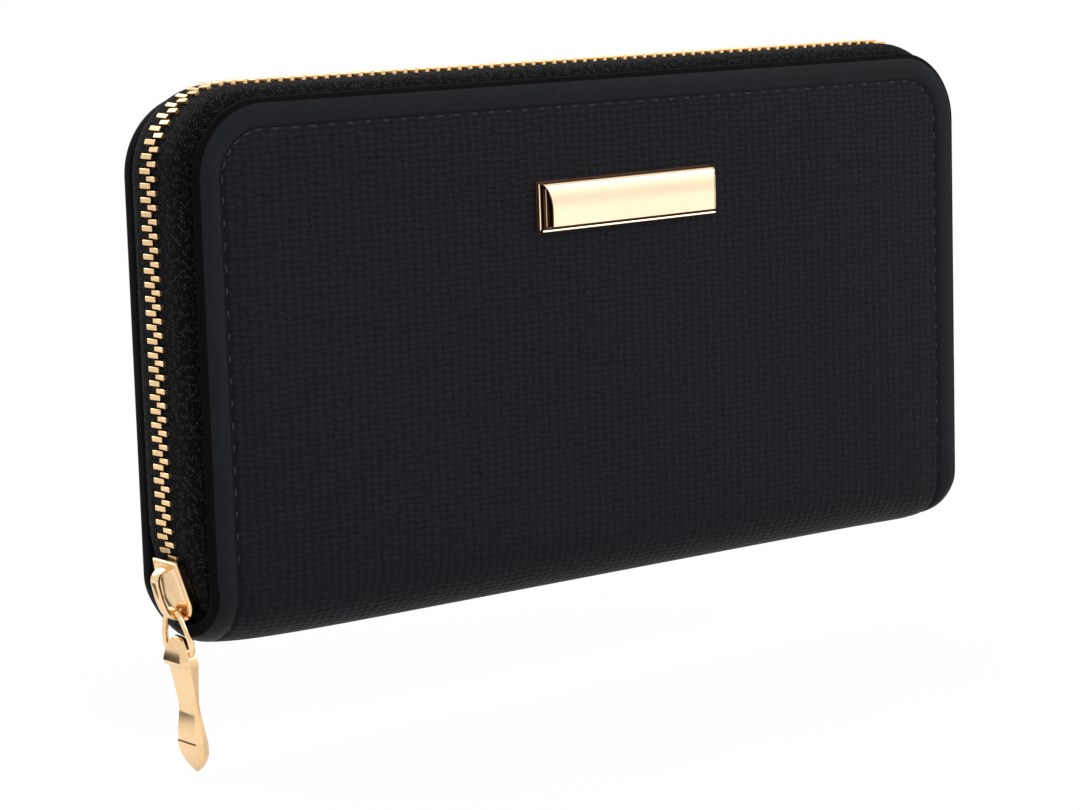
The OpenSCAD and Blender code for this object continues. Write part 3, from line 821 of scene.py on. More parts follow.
@dataclass(frozen=True)
class Metal:
    """Plated or bare metal with faint handling marks.

    Attributes:
        name: the material's name.
        tone: its tone.
        dark: its tone where it is smeared.
        rough: roughness of the clean metal.
        spread: how much rougher the smears are.
        brushed: depth of the hairlines in millimetres.
    """

    name: str
    tone: Tone
    dark: Tone
    rough: float = 0.12
    spread: float = 0.12
    brushed: float = 0.002

    def make(self, effects: Effects) -> bpy.types.Material:
        """Wires the material.

        Args:
            effects: the shared groups.

        Returns:
            The material: metal with smears and hairlines.
        """
        material, b, shader = new_material(self.name)
        given = {"Place": b.node("TexCoord").outputs["Object"], "Rough": self.rough, "Spread": self.spread}
        wear = b.node("Group", given, node_tree=effects.wear)
        b.feed(shader, {
            "Base Color": b.tint(wear.outputs["Tone"], linear(self.tone), linear(self.dark)),
            "Roughness": wear.outputs["Roughness"],
            "Normal": pressed(b, wear.outputs["Relief"], self.brushed),
            "Metallic": 1.0,
        })
        return material


class Finishes:
    """Every material of the wallet, made once."""

    def __init__(self) -> None:
        """Makes the shared effects, then the materials."""
        effects = Effects()
        # The woven cover's second tone is painted shade in the creases of its weave.
        self.cover = Leather(
            "woven leather", (20, 21, 26), (12, 13, 16), Grain.WOVEN,
            rough=0.55, gloss=0.055, depth=0.24).make(effects)
        self.rim = Leather(
            "rim leather", (19, 21, 25), (13, 14, 17),
            rough=0.5, gloss=0.07, depth=0.06, scale=1100.0).make(effects)
        # Painted shade: near-black leather on the front rim's and spine's side, standing in for the shadow
        # in the gap beside the tape.
        self.painted = Leather(
            "painted shade on edges", (11, 11, 13), (8, 8, 9), rough=0.7, gloss=0.02, depth=0.03).make(effects)
        self.inside = Leather(
            "inside leather", (24, 25, 29), (15, 15, 18), gloss=0.12, depth=0.06, scale=1300.0).make(effects)
        # The second tone of each cloth is the painted highlight on its fibres.
        self.tape = Cloth(
            "tape cloth", (9, 9, 10), (52, 52, 56),
            thread=0.85, band=2.6, gloss=0.05, depth=0.26).make(effects)
        self.lining = Cloth(
            "lining cloth", (34, 34, 38), (60, 60, 66), thread=0.5, band=0.5, depth=0.08).make(effects)
        self.thread = Cloth(
            "waxed thread", (20, 21, 24), (66, 68, 72),
            thread=0.3, band=0.4, gloss=0.35, depth=0.05).make(effects)
        self.board = Cloth(
            "pressed board", (140, 124, 100), (150, 134, 108),
            thread=0.9, band=5.0, gloss=0.1, depth=0.05).make(effects)
        self.tooth = Metal(
            "zip teeth brass", (236, 200, 150), (200, 160, 108), rough=0.2, spread=0.14).make(effects)
        self.gold = Metal(
            "polished gold plating", (240, 206, 160), (226, 184, 132), rough=0.1, spread=0.1).make(effects)
        self.plaque = Metal(
            "pale gold plating", (250, 222, 190), (246, 214, 180), rough=0.13, spread=0.08).make(effects)
        # Painted shade: dark brass for the plaque's groove, inside, tray and core and the tab's steps, where
        # the plated metal lies in shade.
        self.shaded = Metal(
            "painted shade brass", (70, 46, 34), (46, 30, 22), rough=0.35, spread=0.2).make(effects)
        self.steel = Metal(
            "bare steel", (170, 166, 158), (130, 126, 120), rough=0.3, spread=0.2).make(effects)

    def dress(self, node: bpy.types.Object, material: bpy.types.Material) -> None:
        """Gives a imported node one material.

        Args:
            node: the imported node.
            material: the material for all its slots.
        """
        if not node.material_slots:
            node.data.materials.append(material)
        for place in node.material_slots:
            place.material = material


def settled(piece: bpy.types.Object, body: str, slot: str, *replaced: str) -> bpy.types.Object:
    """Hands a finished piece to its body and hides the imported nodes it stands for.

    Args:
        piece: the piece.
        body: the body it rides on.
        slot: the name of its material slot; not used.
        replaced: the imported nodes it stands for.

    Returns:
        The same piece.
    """
    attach(piece, body)
    if replaced:
        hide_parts(*replaced)
    LOG.info("%s: %d faces, rides on %s", piece.name, len(piece.data.polygons), body)
    return piece


# ---- the wallet -----------------------------------------------------------------------------


@dataclass(frozen=True)
class Shell:
    """Sizes that the covers, the spine and everything sewn to them share.

    Attributes:
        width: width of a cover.
        height: height of its top.
        corner: radius of its upper corners.
        foot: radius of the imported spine's ends.
        rim: width of the smooth rim.
        swell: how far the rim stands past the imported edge.
        face: distance of the covers' outer faces from the middle plane.
        inner: distance of their inner faces from it.
        hide: thickness of the leather.
        fold: height of the line that the spine turns round.
    """

    width: float = 195.0
    height: float = 103.5
    corner: float = 14.5
    foot: float = 7.0
    rim: float = 5.1
    swell: float = 0.6
    face: float = 13.0
    inner: float = 10.8
    hide: float = 0.9
    fold: float = 12.7

    @property
    def half(self) -> float:
        """Half the width."""
        return self.width / 2

    @property
    def shoulder(self) -> float:
        """Height of the centres of the upper corners."""
        return self.height - self.corner

    @property
    def edge_radius(self) -> float:
        """Radius of a cover's rounded edge."""
        return (self.face - self.inner) / 2

    def edge(self) -> Edge:
        """Edge of a cover from the fold line round to the fold line."""
        quarter = (self.corner * math.pi / 2, math.pi / 2)
        return Edge(self.height, ((self.half - self.corner, 0), quarter, (self.shoulder - self.fold, 0)))

    def from_edge(self, x: np.ndarray, z: np.ndarray) -> np.ndarray:
        """Distance inward from a cover's edge: to the nearer side or the top, or to the corner's circle.

        Args:
            x: places along X.
            z: heights.

        Returns:
            The distances.
        """
        side, top = self.half - np.abs(x), self.height - z
        round_ = self.corner - np.hypot(np.abs(x) - (self.half - self.corner), z - self.shoulder)
        return np.where((side < self.corner) & (top < self.corner), round_, np.minimum(side, top))

    def relief(self, d: np.ndarray) -> np.ndarray:
        """Height of the skin over the nominal face: a low bulge on the rim, a groove where the stitches
        pull it down, and a soft rise to the field inside them.

        Args:
            d: distances inward from the edge.

        Returns:
            The heights.
        """
        bulge = 0.2 * np.sin(np.pi * np.clip(d / self.rim, 0, 1)) ** 2
        groove = 0.5 * np.exp(-(((d - self.rim - 0.1) / 0.5) ** 2))
        return bulge - groove + 0.35 * eased((d - self.rim - 0.3) / 6) + 0.15 * eased((d - 8) / 30)

    def rounding(self, d: np.ndarray, radius: float) -> np.ndarray:
        """Depth at d inward of an edge rounded by an ellipse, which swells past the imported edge."""
        share = np.clip((radius - d) / (radius + self.swell), 0, 1)
        return radius - radius * np.sqrt(np.maximum(1 - share**2, 0))

    def lift(self, x: np.ndarray) -> np.ndarray:
        """How far the spine's underside draws up at its ends, softly and far in on the slider's side."""
        s = np.maximum(self.half - np.abs(x), 0)
        return np.where(x < 0, 1.9 * np.exp(-s / 9) + 1.8 * np.exp(-s / 1.3), 4.4 * np.exp(-s / 2.4))


def sheet_grid(
    half: float, low: float, top: float, corner: float, step: float, notches: tuple[float, ...] = ()
) -> tuple[np.ndarray, np.ndarray]:
    """Grid of an upright sheet with rounded upper corners: columns from side to side, each filled from its
    foot to the outline's height there; rows crowd toward the top and columns toward the sides.

    Args:
        half: half its width.
        low: height of its foot.
        top: height of its top.
        corner: radius of its upper corners.
        step: distance between columns away from the sides.
        notches: places of thumb notches, which are parts of circles.

    Returns:
        The X and Z of every point, rows by columns.
    """
    tall, notch_radius, notch_rise = top - low, 12, 9
    near = corner * (1 - np.cos(np.linspace(0, math.pi / 2, 13)))
    beyond = [1.0, 2.2, 3.6] if corner > 6 else [0.6, 1.4, 2.4, 3.6, 5.0]
    inward = np.concatenate([near, corner + np.array(beyond)])
    span = half - inward[-1]
    middle = np.linspace(-span, span, max(3, int(2 * span / step) + 1))
    x = np.unique(np.round(np.concatenate([inward - half, middle, half - inward]), 5))
    past = np.clip(np.abs(x) - (half - corner), 0, corner)
    outline = top - corner + np.sqrt(np.maximum(corner**2 - past**2, 0))
    for at in notches:
        bite = top + notch_rise - np.sqrt(np.maximum(notch_radius**2 - (x - at) ** 2, 0))
        outline = np.where(np.abs(x - at) < notch_radius, np.minimum(outline, bite), outline)
    down = np.array([0, 0.3, 0.7, 1.2, 1.8, 2.5, 3.4, 4.6, 6.2, 8.2, 10.6, 13.5, 17.0])
    rest = np.array([tall])
    if tall > 20:
        rest = np.linspace(down[-1], tall, max(2, int((tall - down[-1]) / step) + 1))[1:]
    share = 1 - np.concatenate([down[down < tall - 0.5], rest])[::-1] / tall
    z = low + (outline[None] - low) * share[:, None]
    return np.broadcast_to(x, z.shape).copy(), z


def from_border(half: float, x: np.ndarray, z: np.ndarray) -> np.ndarray:
    """Distance inward from the border of an upright sheet's grid, half its width given."""
    return np.minimum(half - np.abs(x), np.minimum(z[-1][None] - z, z - z[0][None]))


def stitch_shape(length: float, width: float) -> tuple[np.ndarray, list[np.ndarray]]:
    """One stitch: a strand of six sides that swells from its ends and dives at both of them.

    Args:
        length: its length.
        width: its width; it is four fifths as high.

    Returns:
        The points and the faces.
    """
    high, sides = width * 0.8, 6
    along = np.array([-1.0, -0.86, -0.5, 0.0, 0.5, 0.86, 1.0])[:, None]
    girth = np.array([0.3, 0.75, 1.0, 1.05, 1.0, 0.75, 0.3])[:, None]
    angle = np.arange(sides) * 2 * math.pi / sides
    y = girth * np.cos(angle) * width / 2
    z = girth * np.sin(angle) * high / 2 - high * 0.9 * along**4
    points = spots(along * length / 2, y, z).reshape(-1, 3)
    end = np.arange(sides)[None]
    return points, [quads(len(along), sides, wrap=True), end, end + (len(along) - 1) * sides]


def stitch_rows(name: str, rows: list[Row], size: Flat, material: bpy.types.Material) -> bpy.types.Object:
    """Rows of stitches as one piece.

    Args:
        name: the piece's name.
        rows: for each row its places, ways and outward normals, n x 3 each.
        size: length and width of a stitch.
        material: the thread.

    Returns:
        The new piece.
    """
    place, way, out = (np.concatenate([r[k] for r in rows]) for k in range(3))
    shape, faces = stitch_shape(*size)
    turned = np.stack([way, np.cross(out, way), out], axis=1)
    return repeated(shape, faces, place, turned).build(name, material)


@dataclass
class Cover:
    """Skin, rim and stitches of one cover, and the half of the spine that goes on from it.

    Attributes:
        half: the half it belongs to.
        finishes: the wallet's materials.
        shell: the shared sizes.
        stitch_step: distance from stitch to stitch.
        stitch: length and width of a stitch.
    """

    half: Half
    finishes: Finishes
    shell: Shell = Shell()
    stitch_step: float = 4.2
    stitch: Flat = (1.9, 0.5)

    def field_skin(self) -> bpy.types.Object:
        """Embossed skin inside the rim: a sheet whose face stands off by the relief.

        Returns:
            The new piece.
        """
        s, sign = self.shell, self.half.value
        x, z = sheet_grid(s.half - s.rim, s.fold, s.height - s.rim, s.corner - s.rim, 1.6)
        front = spots(x, sign * (s.face + s.relief(s.from_edge(x, z))), z)
        skin = slab(front, spots(x, sign * (s.face - s.hide), z), np.stack([x, z], axis=-1))
        return skin.build(f"{self.half.prefix}_cover_skin", self.finishes.cover)

    def rim_profile(self) -> tuple[np.ndarray, np.ndarray, np.ndarray]:
        """Profile of the rim: over the bulge from the groove to the rounded edge, round to the lining's
        side and back.

        Returns:
            The profile, the flat place round it and whether each of its sides lies past the top of the edge.
        """
        s, radius = self.shell, self.shell.edge_radius
        turn = radius - (radius + s.swell) * np.sin(np.linspace(0, math.pi / 2, 9))
        level = np.linspace(s.rim, radius + 0.2, 16)
        d = np.concatenate([level, turn])
        outer = s.face + s.relief(d) * eased((d + 0.2) / 0.8) - s.rounding(d, radius)
        under = turn[::-1][1:]
        lower = s.inner + s.rounding(under, radius)
        behind = s.face - s.hide - 0.05
        back = [(radius + 0.15, s.inner), (radius + 0.15, behind), (s.rim, behind)]
        profile = np.concatenate([np.stack([d, outer], 1), np.stack([under, lower], 1), np.array(back)])
        run = run_along(profile)
        turned = np.stack([-profile[:, 0], self.half.value * profile[:, 1]], axis=1)
        return turned, np.append(run, run[-1] + 1), np.arange(len(profile)) > len(level) + 1

    def rim_skin(self) -> bpy.types.Object:
        """Smooth binding: the rim's profile carried round the edge; the front one's side carries painted
        shade.

        Returns:
            The new piece.
        """
        profile, around, side = self.rim_profile()
        edge = self.shell.edge()
        at = edge.stations(4.0, 1.0)
        skin = edge.carry(profile, around, at)
        # Painted shade: only the front half's side gets the near-black leather, where the gap beside the
        # tape lies in shadow.
        kinds = (side & (self.half is Half.FRONT)).astype(int)
        skin.kinds = [np.tile(kinds, len(at) - 1)] + [np.zeros(len(f), int) for f in skin.faces[1:]]
        return skin.build(f"{self.half.prefix}_rim_skin", self.finishes.rim, self.finishes.painted)

    def stitches(self) -> bpy.types.Object:
        """Stitches in the groove, all round the cover.

        Returns:
            The new piece.
        """
        s, edge, inset = self.shell, self.shell.edge(), self.shell.rim + 0.35
        count = int(2 * (edge.half - 3) / self.stitch_step)
        place, way, out = edge.at((np.arange(count) - (count - 1) / 2) * self.stitch_step)
        place = place - out * inset
        place[:, 1] = self.half.value * (s.face + float(s.relief(np.array(inset))) - 0.04)
        normal = np.broadcast_to([0.0, float(self.half.value), 0.0], place.shape)
        name = f"{self.half.prefix}_cover_stitches"
        return stitch_rows(name, [(place, way, normal)], self.stitch, self.finishes.thread)

    def spine_skin(self) -> bpy.types.Object:
        """Half of the spine: the cover's face carried a quarter turn round the fold line. Its underside
        draws up toward its ends, and the rim, groove and rise go on along them and fade underneath.

        Returns:
            The new piece.
        """
        s, radius = self.shell, self.shell.edge_radius
        angle = np.linspace(0, math.pi / 2, 31)[:, None]
        turn = radius - (radius + s.swell) * np.cos(np.linspace(0, math.pi / 2, 8))
        field = s.rim + np.array([0.25, 0.5, 0.9, 1.5, 2.4, 3.6, 5.2, 7.0])
        near = np.concatenate([turn, np.linspace(1.3, s.rim, 10), field])
        middle = (near[-1] - s.half) + np.linspace(0, 1, 90)[1:-1] * 2 * (s.half - near[-1])
        line = np.concatenate([near - s.half, middle, (s.half - near)[::-1]])
        past = np.clip(np.abs(line) - s.half, 0, None)
        x = line - np.sign(line) * past * eased(angle / 0.7)
        d = s.half - np.abs(x)
        fade = 1 - eased((angle - 0.9) / 0.6)
        lift = (s.relief(d) * eased((d + 0.2) / 0.8) - 0.5) * fade + 0.5 * (1 - 0.6 * (1 - fade))
        outer = s.face + lift - s.rounding(d, radius)
        deep = np.where(d < s.rim - 0.6, s.inner + s.rounding(d, radius), s.face - s.hide)
        squeeze = 1 - s.lift(x) / s.fold
        full = np.where(x > 0, 1 - 0.42 * np.exp(-np.maximum(d, 0) / 14), 1.0)

        def placed(r: np.ndarray) -> np.ndarray:
            """Points at radius r: drawn up at the ends, fuller away from the slider, flat underneath."""
            level, depth = np.cos(angle) ** full, np.sin(angle) ** full * squeeze
            return spots(x, self.half.value * r * level, np.maximum(s.fold - r * depth, 0.0))

        inner, shown = placed(np.minimum(deep, outer)), placed(outer)
        inner[..., 2] = np.maximum(inner[..., 2], shown[..., 2] + 0.3 * (deep < outer) * np.sin(angle))
        skin = slab(shown, inner, np.stack(np.broadcast_arrays(x, s.fold - s.face * angle), axis=-1))
        on_rim = d[:-1, :-1] < s.rim - 0.05
        # Painted shade: the front half's side and its ends get the near-black leather, like the front rim's
        # side.
        on_side = (np.minimum(d[:-1, :-1], d[:-1, 1:]) < 0.45) & (self.half is Half.FRONT)
        kinds = (on_rim.astype(int) + on_side).ravel()
        skin.kinds = [kinds, kinds] + [np.full(len(f), kinds.max()) for f in skin.faces[2:]]
        finishes = self.finishes
        return skin.build(f"spine_skin_{self.half.prefix}", finishes.cover, finishes.rim, finishes.painted)

    def build(self) -> None:
        """Makes the cover's pieces and hands all but the spine's half to their body."""
        s, prefix, body = self.shell, self.half.prefix, self.half.body
        field = settled(self.field_skin(), body, "cover_leather", f"{prefix}_cover")
        settled(self.rim_skin(), body, "rim_leather", f"{prefix}_binding")
        settled(self.stitches(), body, "rim_leather")
        spine = self.spine_skin()
        bend_to_half(spine, self.half)
        if self.half is Half.BACK:
            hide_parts("spine_wrap")


def bend_to_half(piece: bpy.types.Object, half: Half) -> None:
    """Bakes a soft piece's place into its mesh and logs the half it reaches to.

    Args:
        piece: the soft piece.
        half: the half it reaches to.
    """
    if half is Half.FRONT:
        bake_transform(piece)
    else:
        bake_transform(piece)
    LOG.info("%s: %d faces, bends to %s", piece.name, len(piece.data.polygons), half.body)


@dataclass(frozen=True)
class Chain:
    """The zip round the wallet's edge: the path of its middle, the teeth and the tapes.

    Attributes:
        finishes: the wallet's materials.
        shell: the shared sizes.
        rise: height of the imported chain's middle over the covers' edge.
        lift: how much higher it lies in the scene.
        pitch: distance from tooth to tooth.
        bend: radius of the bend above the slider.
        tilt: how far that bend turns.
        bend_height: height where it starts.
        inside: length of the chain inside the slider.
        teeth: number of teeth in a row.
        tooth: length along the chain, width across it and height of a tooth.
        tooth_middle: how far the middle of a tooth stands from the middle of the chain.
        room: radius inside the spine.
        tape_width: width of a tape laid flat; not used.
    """

    finishes: Finishes
    shell: Shell = Shell()
    rise: float = 2.0
    lift: float = 0.4
    pitch: float = 2.65
    bend: float = 30.0
    tilt: float = math.radians(14)
    bend_height: float = 25.279
    inside: float = 3.6
    teeth: int = 136
    tooth: Place = (0.98, 3.2, 2.1)
    tooth_middle: float = 1.03
    room: float = 11.5
    tape_width: float = 14.8

    def path(self) -> Edge:
        """Path of the chain's middle, carried on past the slider and turned into the wallet.

        Returns:
            The path.
        """
        s = self.shell
        quarter = (s.corner + self.rise) * math.pi / 2
        runs = (
            (s.half - s.corner, 0), (quarter, math.pi / 2), (s.shoulder + self.lift - self.bend_height, 0),
            (self.bend * self.tilt, self.tilt), (8.4, 0), (4.2, math.radians(60)),
        )
        return Edge(s.height + self.rise + self.lift, runs)

    @property
    def straight_half(self) -> float:
        """Length from the top's middle to the end of the lower bend."""
        return sum(length for length, _ in self.path().runs[:4])

    def tooth_shape(self) -> tuple[np.ndarray, list[np.ndarray]]:
        """One tooth: a bar across the chain with its edges cut, lower toward its head.

        Returns:
            Its points and faces.
        """
        points, faces = chamfered_bar(self.tooth, 0.12)
        points[:, 1] += self.tooth_middle
        points[points[:, 1] < 0.4, 2] *= 0.8
        return points, faces

    def tooth_row(self, half: Half) -> bpy.types.Object:
        """One row of teeth along the path.

        Args:
            half: the row's half; the back row stands half a pitch on.

        Returns:
            The new piece.
        """
        first = 1.05 - (self.straight_half + self.inside)
        s = (np.arange(self.teeth) + half.shift) * self.pitch + first
        place, way, out = self.path().at(s)
        across = np.broadcast_to([0.0, float(half.value), 0.0], place.shape)
        skin = repeated(*self.tooth_shape(), place, np.stack([way, across, out], axis=1))
        return skin.build(f"{half.prefix}_tooth_row", self.finishes.tooth, crease=30.0)

    def tape(self, half: Half) -> bpy.types.Object:
        """Tape of one row: flat beside the teeth with a corded edge, then dipping under the cover's rim.
        Below the slider it narrows to stay inside the spine.

        Args:
            half: the tape's half.

        Returns:
            The new piece.
        """
        flat = [(self.rise, 0.95), (self.rise, 3.2), (self.rise, 5.6)]
        line = rounded_line([*flat, (1.3, 7.8), (-1.2, 9.3), (-3.2, 10.3), (-5.6, 10.45)])
        cord = np.exp(-(((line[:, 1] - 1.35) / 0.4) ** 2)) * (line[:, 0] > 1)
        profile, around = ribbon(line - [self.rise, 0], 0.55 + 0.5 * cord)
        path = self.path()
        s = path.stations(2.0, 0.8)
        place, _, out = path.at(s)
        points = place[:, None] + out[:, None] * profile[None, :, :1]
        drop = np.clip(self.shell.fold - points[..., 2], 0, self.room - 0.1)
        room = np.sqrt(np.maximum(self.room**2 - drop**2, 1.2))
        points[..., 1] = half.value * np.minimum(profile[None, :, 1], room)
        return tube(points, s, around).build(f"{half.prefix}_tape_cloth", self.finishes.tape)

    def build(self) -> None:
        """Makes both tapes and both rows of teeth."""
        for half in Half:
            settled(self.tooth_row(half), half.body, "tooth_metal", f"{half.prefix}_zip_teeth")
            tape = settled(self.tape(half), half.body, "tape_cloth", f"{half.prefix}_zip_tape")


@dataclass
class Inside:
    """Lining, card panel and card slots of one half.

    Attributes:
        half: the half.
        finishes: the wallet's materials.
        shell: the shared sizes.
        lining_inset: distance of the lining's border from the cover's edge.
        panel_half: half the width of the card panel.
        panel_low: height of its foot.
        card_top: height of its top.
        card_step: distance from slot to slot.
        panel_thick: thickness of the panel.
        card_thick: thickness of a slot.
        stitch: length and width of a stitch.
    """

    half: Half
    finishes: Finishes
    shell: Shell = Shell()
    lining_inset: float = 1.35
    panel_half: float = 91.0
    panel_low: float = 16.2
    card_top: float = 90.5
    card_step: float = 13.0
    panel_thick: float = 0.6
    card_thick: float = 0.65
    stitch: Flat = (2.2, 0.42)

    def leaf(
        self, name: str, size: tuple[float, float, float, float], outer: float, thick: float,
        material: bpy.types.Material, notches: tuple[float, ...] = (), swell: float = 0.1,
    ) -> bpy.types.Object:
        """Thin soft panel: its faces a thickness apart, eased down to a rounded edge.

        Args:
            name: the piece's name.
            size: half its width, its foot, its top and the radius of its corners.
            outer: distance from the middle plane of its face toward the cover.
            thick: its thickness.
            material: its leather or cloth.
            notches: places of its thumb notches.
            swell: how much its faces are thinned toward its edges.

        Returns:
            The new piece.
        """
        x, z = sheet_grid(*size, 4.0, notches)
        d = from_border(size[0], x, z)
        thin = swell * (1 - eased(d / 1.2))
        ripple = 0.04 * np.sin(x / 11.0) * np.sin(z / 9.0) * eased(d / 6)
        sign = self.half.value
        toward = spots(x, sign * (outer - thick + thin - ripple * (thick > 0.55)), z)
        away = spots(x, sign * (outer - thin), z)
        return slab(toward, away, np.stack([x, z], axis=-1)).build(name, material)

    def stitches(self) -> bpy.types.Object:
        """Thread that holds the slots: along each top edge, down the middle and down both sides.

        Returns:
            The new piece.
        """
        w, step = self.panel_half, 3.0
        rows = []
        for n in range(1, 5):
            face = self.shell.inner - self.panel_thick - n * self.card_thick
            top = self.slot_top(n)
            bottom = self.slot_top(n + 1) + 1 if n < 4 else self.panel_low + 2
            for x in (-w + 2, -0.9, 0.9, w - 2):
                z = np.arange(bottom, top - 1.5, step)
                rows.append(self.row(np.full_like(z, x), z, (0, 0, 1), face))
            for centre in (-w / 2, w / 2):
                x = np.arange(-41.0, 41.1, step) + centre
                x = x[np.abs(x - centre) > 9.5]
                rows.append(self.row(x, np.full_like(x, top - 1.6), (1, 0, 0), face))
        x = np.arange(-w + 8, w - 7.9, step)
        face = self.shell.inner - self.panel_thick
        rows.append(self.row(x, np.full_like(x, self.card_top - 1.8), (1, 0, 0), face))
        return stitch_rows(f"{self.half.prefix}_slot_stitches", rows, self.stitch, self.finishes.thread)

    def slot_top(self, number: int) -> float:
        """Height of a card slot's top, counted from the panel."""
        return self.card_top - number * self.card_step + 4

    def row(self, x: np.ndarray, z: np.ndarray, way: tuple[int, int, int], face: float) -> Row:
        """One straight row of stitches.

        Args:
            x: their places along X.
            z: their heights.
            way: direction of the thread.
            face: distance of the face they lie on from the middle plane.

        Returns:
            Places, ways and outward normals.
        """
        sign = float(self.half.value)
        place = spots(x, sign * (face - 0.02), z)
        normal = np.broadcast_to([0.0, -sign, 0.0], place.shape)
        return place, np.broadcast_to(np.array(way, float), place.shape), normal

    def build(self) -> None:
        """Makes the panels of this half from the lining to the front slot."""
        s, p, body, w = self.shell, self.half.prefix, self.half.body, self.panel_half
        leather, high = self.finishes.inside, s.height - self.lining_inset
        size = (s.half - self.lining_inset, s.fold, high, s.corner - self.lining_inset)
        lining = self.leaf(f"{p}_lining_cloth", size, s.inner + 0.5, 0.5, self.finishes.lining, swell=0.02)
        settled(lining, body, "lining_cloth", f"{p}_lining")
        size = (w, self.panel_low, self.card_top, 6.0)
        panel = self.leaf(f"{p}_card_panel_leather", size, s.inner, self.panel_thick, leather)
        settled(panel, body, "inside_leather", f"{p}_card_panel")
        for n in range(1, 5):
            size = (w, self.panel_low, self.slot_top(n), 2.0)
            outer = s.inner - self.panel_thick - (n - 1) * self.card_thick
            node = f"{p}_card_slot_{n}"
            slot = self.leaf(f"{node}_leather", size, outer, self.card_thick, leather, (-w / 2, w / 2))
            settled(slot, body, "inside_leather", node)
        settled(self.stitches(), body, "inside_leather")
        self.spine_lining()

    def spine_lining(self) -> None:
        """Half of the lining inside the spine: a quarter turn of cloth round the fold line."""
        s, radius, gap = self.shell, 12.05, 0.75
        angle = np.linspace(0.02, math.pi / 2, 22)[:, None]
        drop = np.clip(s.foot - (s.fold - 11.9 * np.sin(angle)), 0, s.foot)
        half = s.half - s.foot + np.sqrt(np.maximum(s.foot**2 - drop**2, 0)) - 4.4
        x = np.linspace(-1, 1, 80)[None] * half

        def placed(r: float) -> np.ndarray:
            """Points at radius r from the fold line, pressed flat underneath."""
            z = np.maximum(s.fold - r * np.sin(angle), radius + gap - r)
            return spots(x, self.half.value * r * np.cos(angle), z)

        place = np.stack(np.broadcast_arrays(x, s.fold - 12 * angle), axis=-1)
        skin = slab(placed(radius), placed(radius - 0.45), place)
        cloth = skin.build(f"spine_lining_{self.half.prefix}", self.finishes.lining)
        bend_to_half(cloth, self.half)
        if self.half is Half.BACK:
            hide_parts("spine_lining")


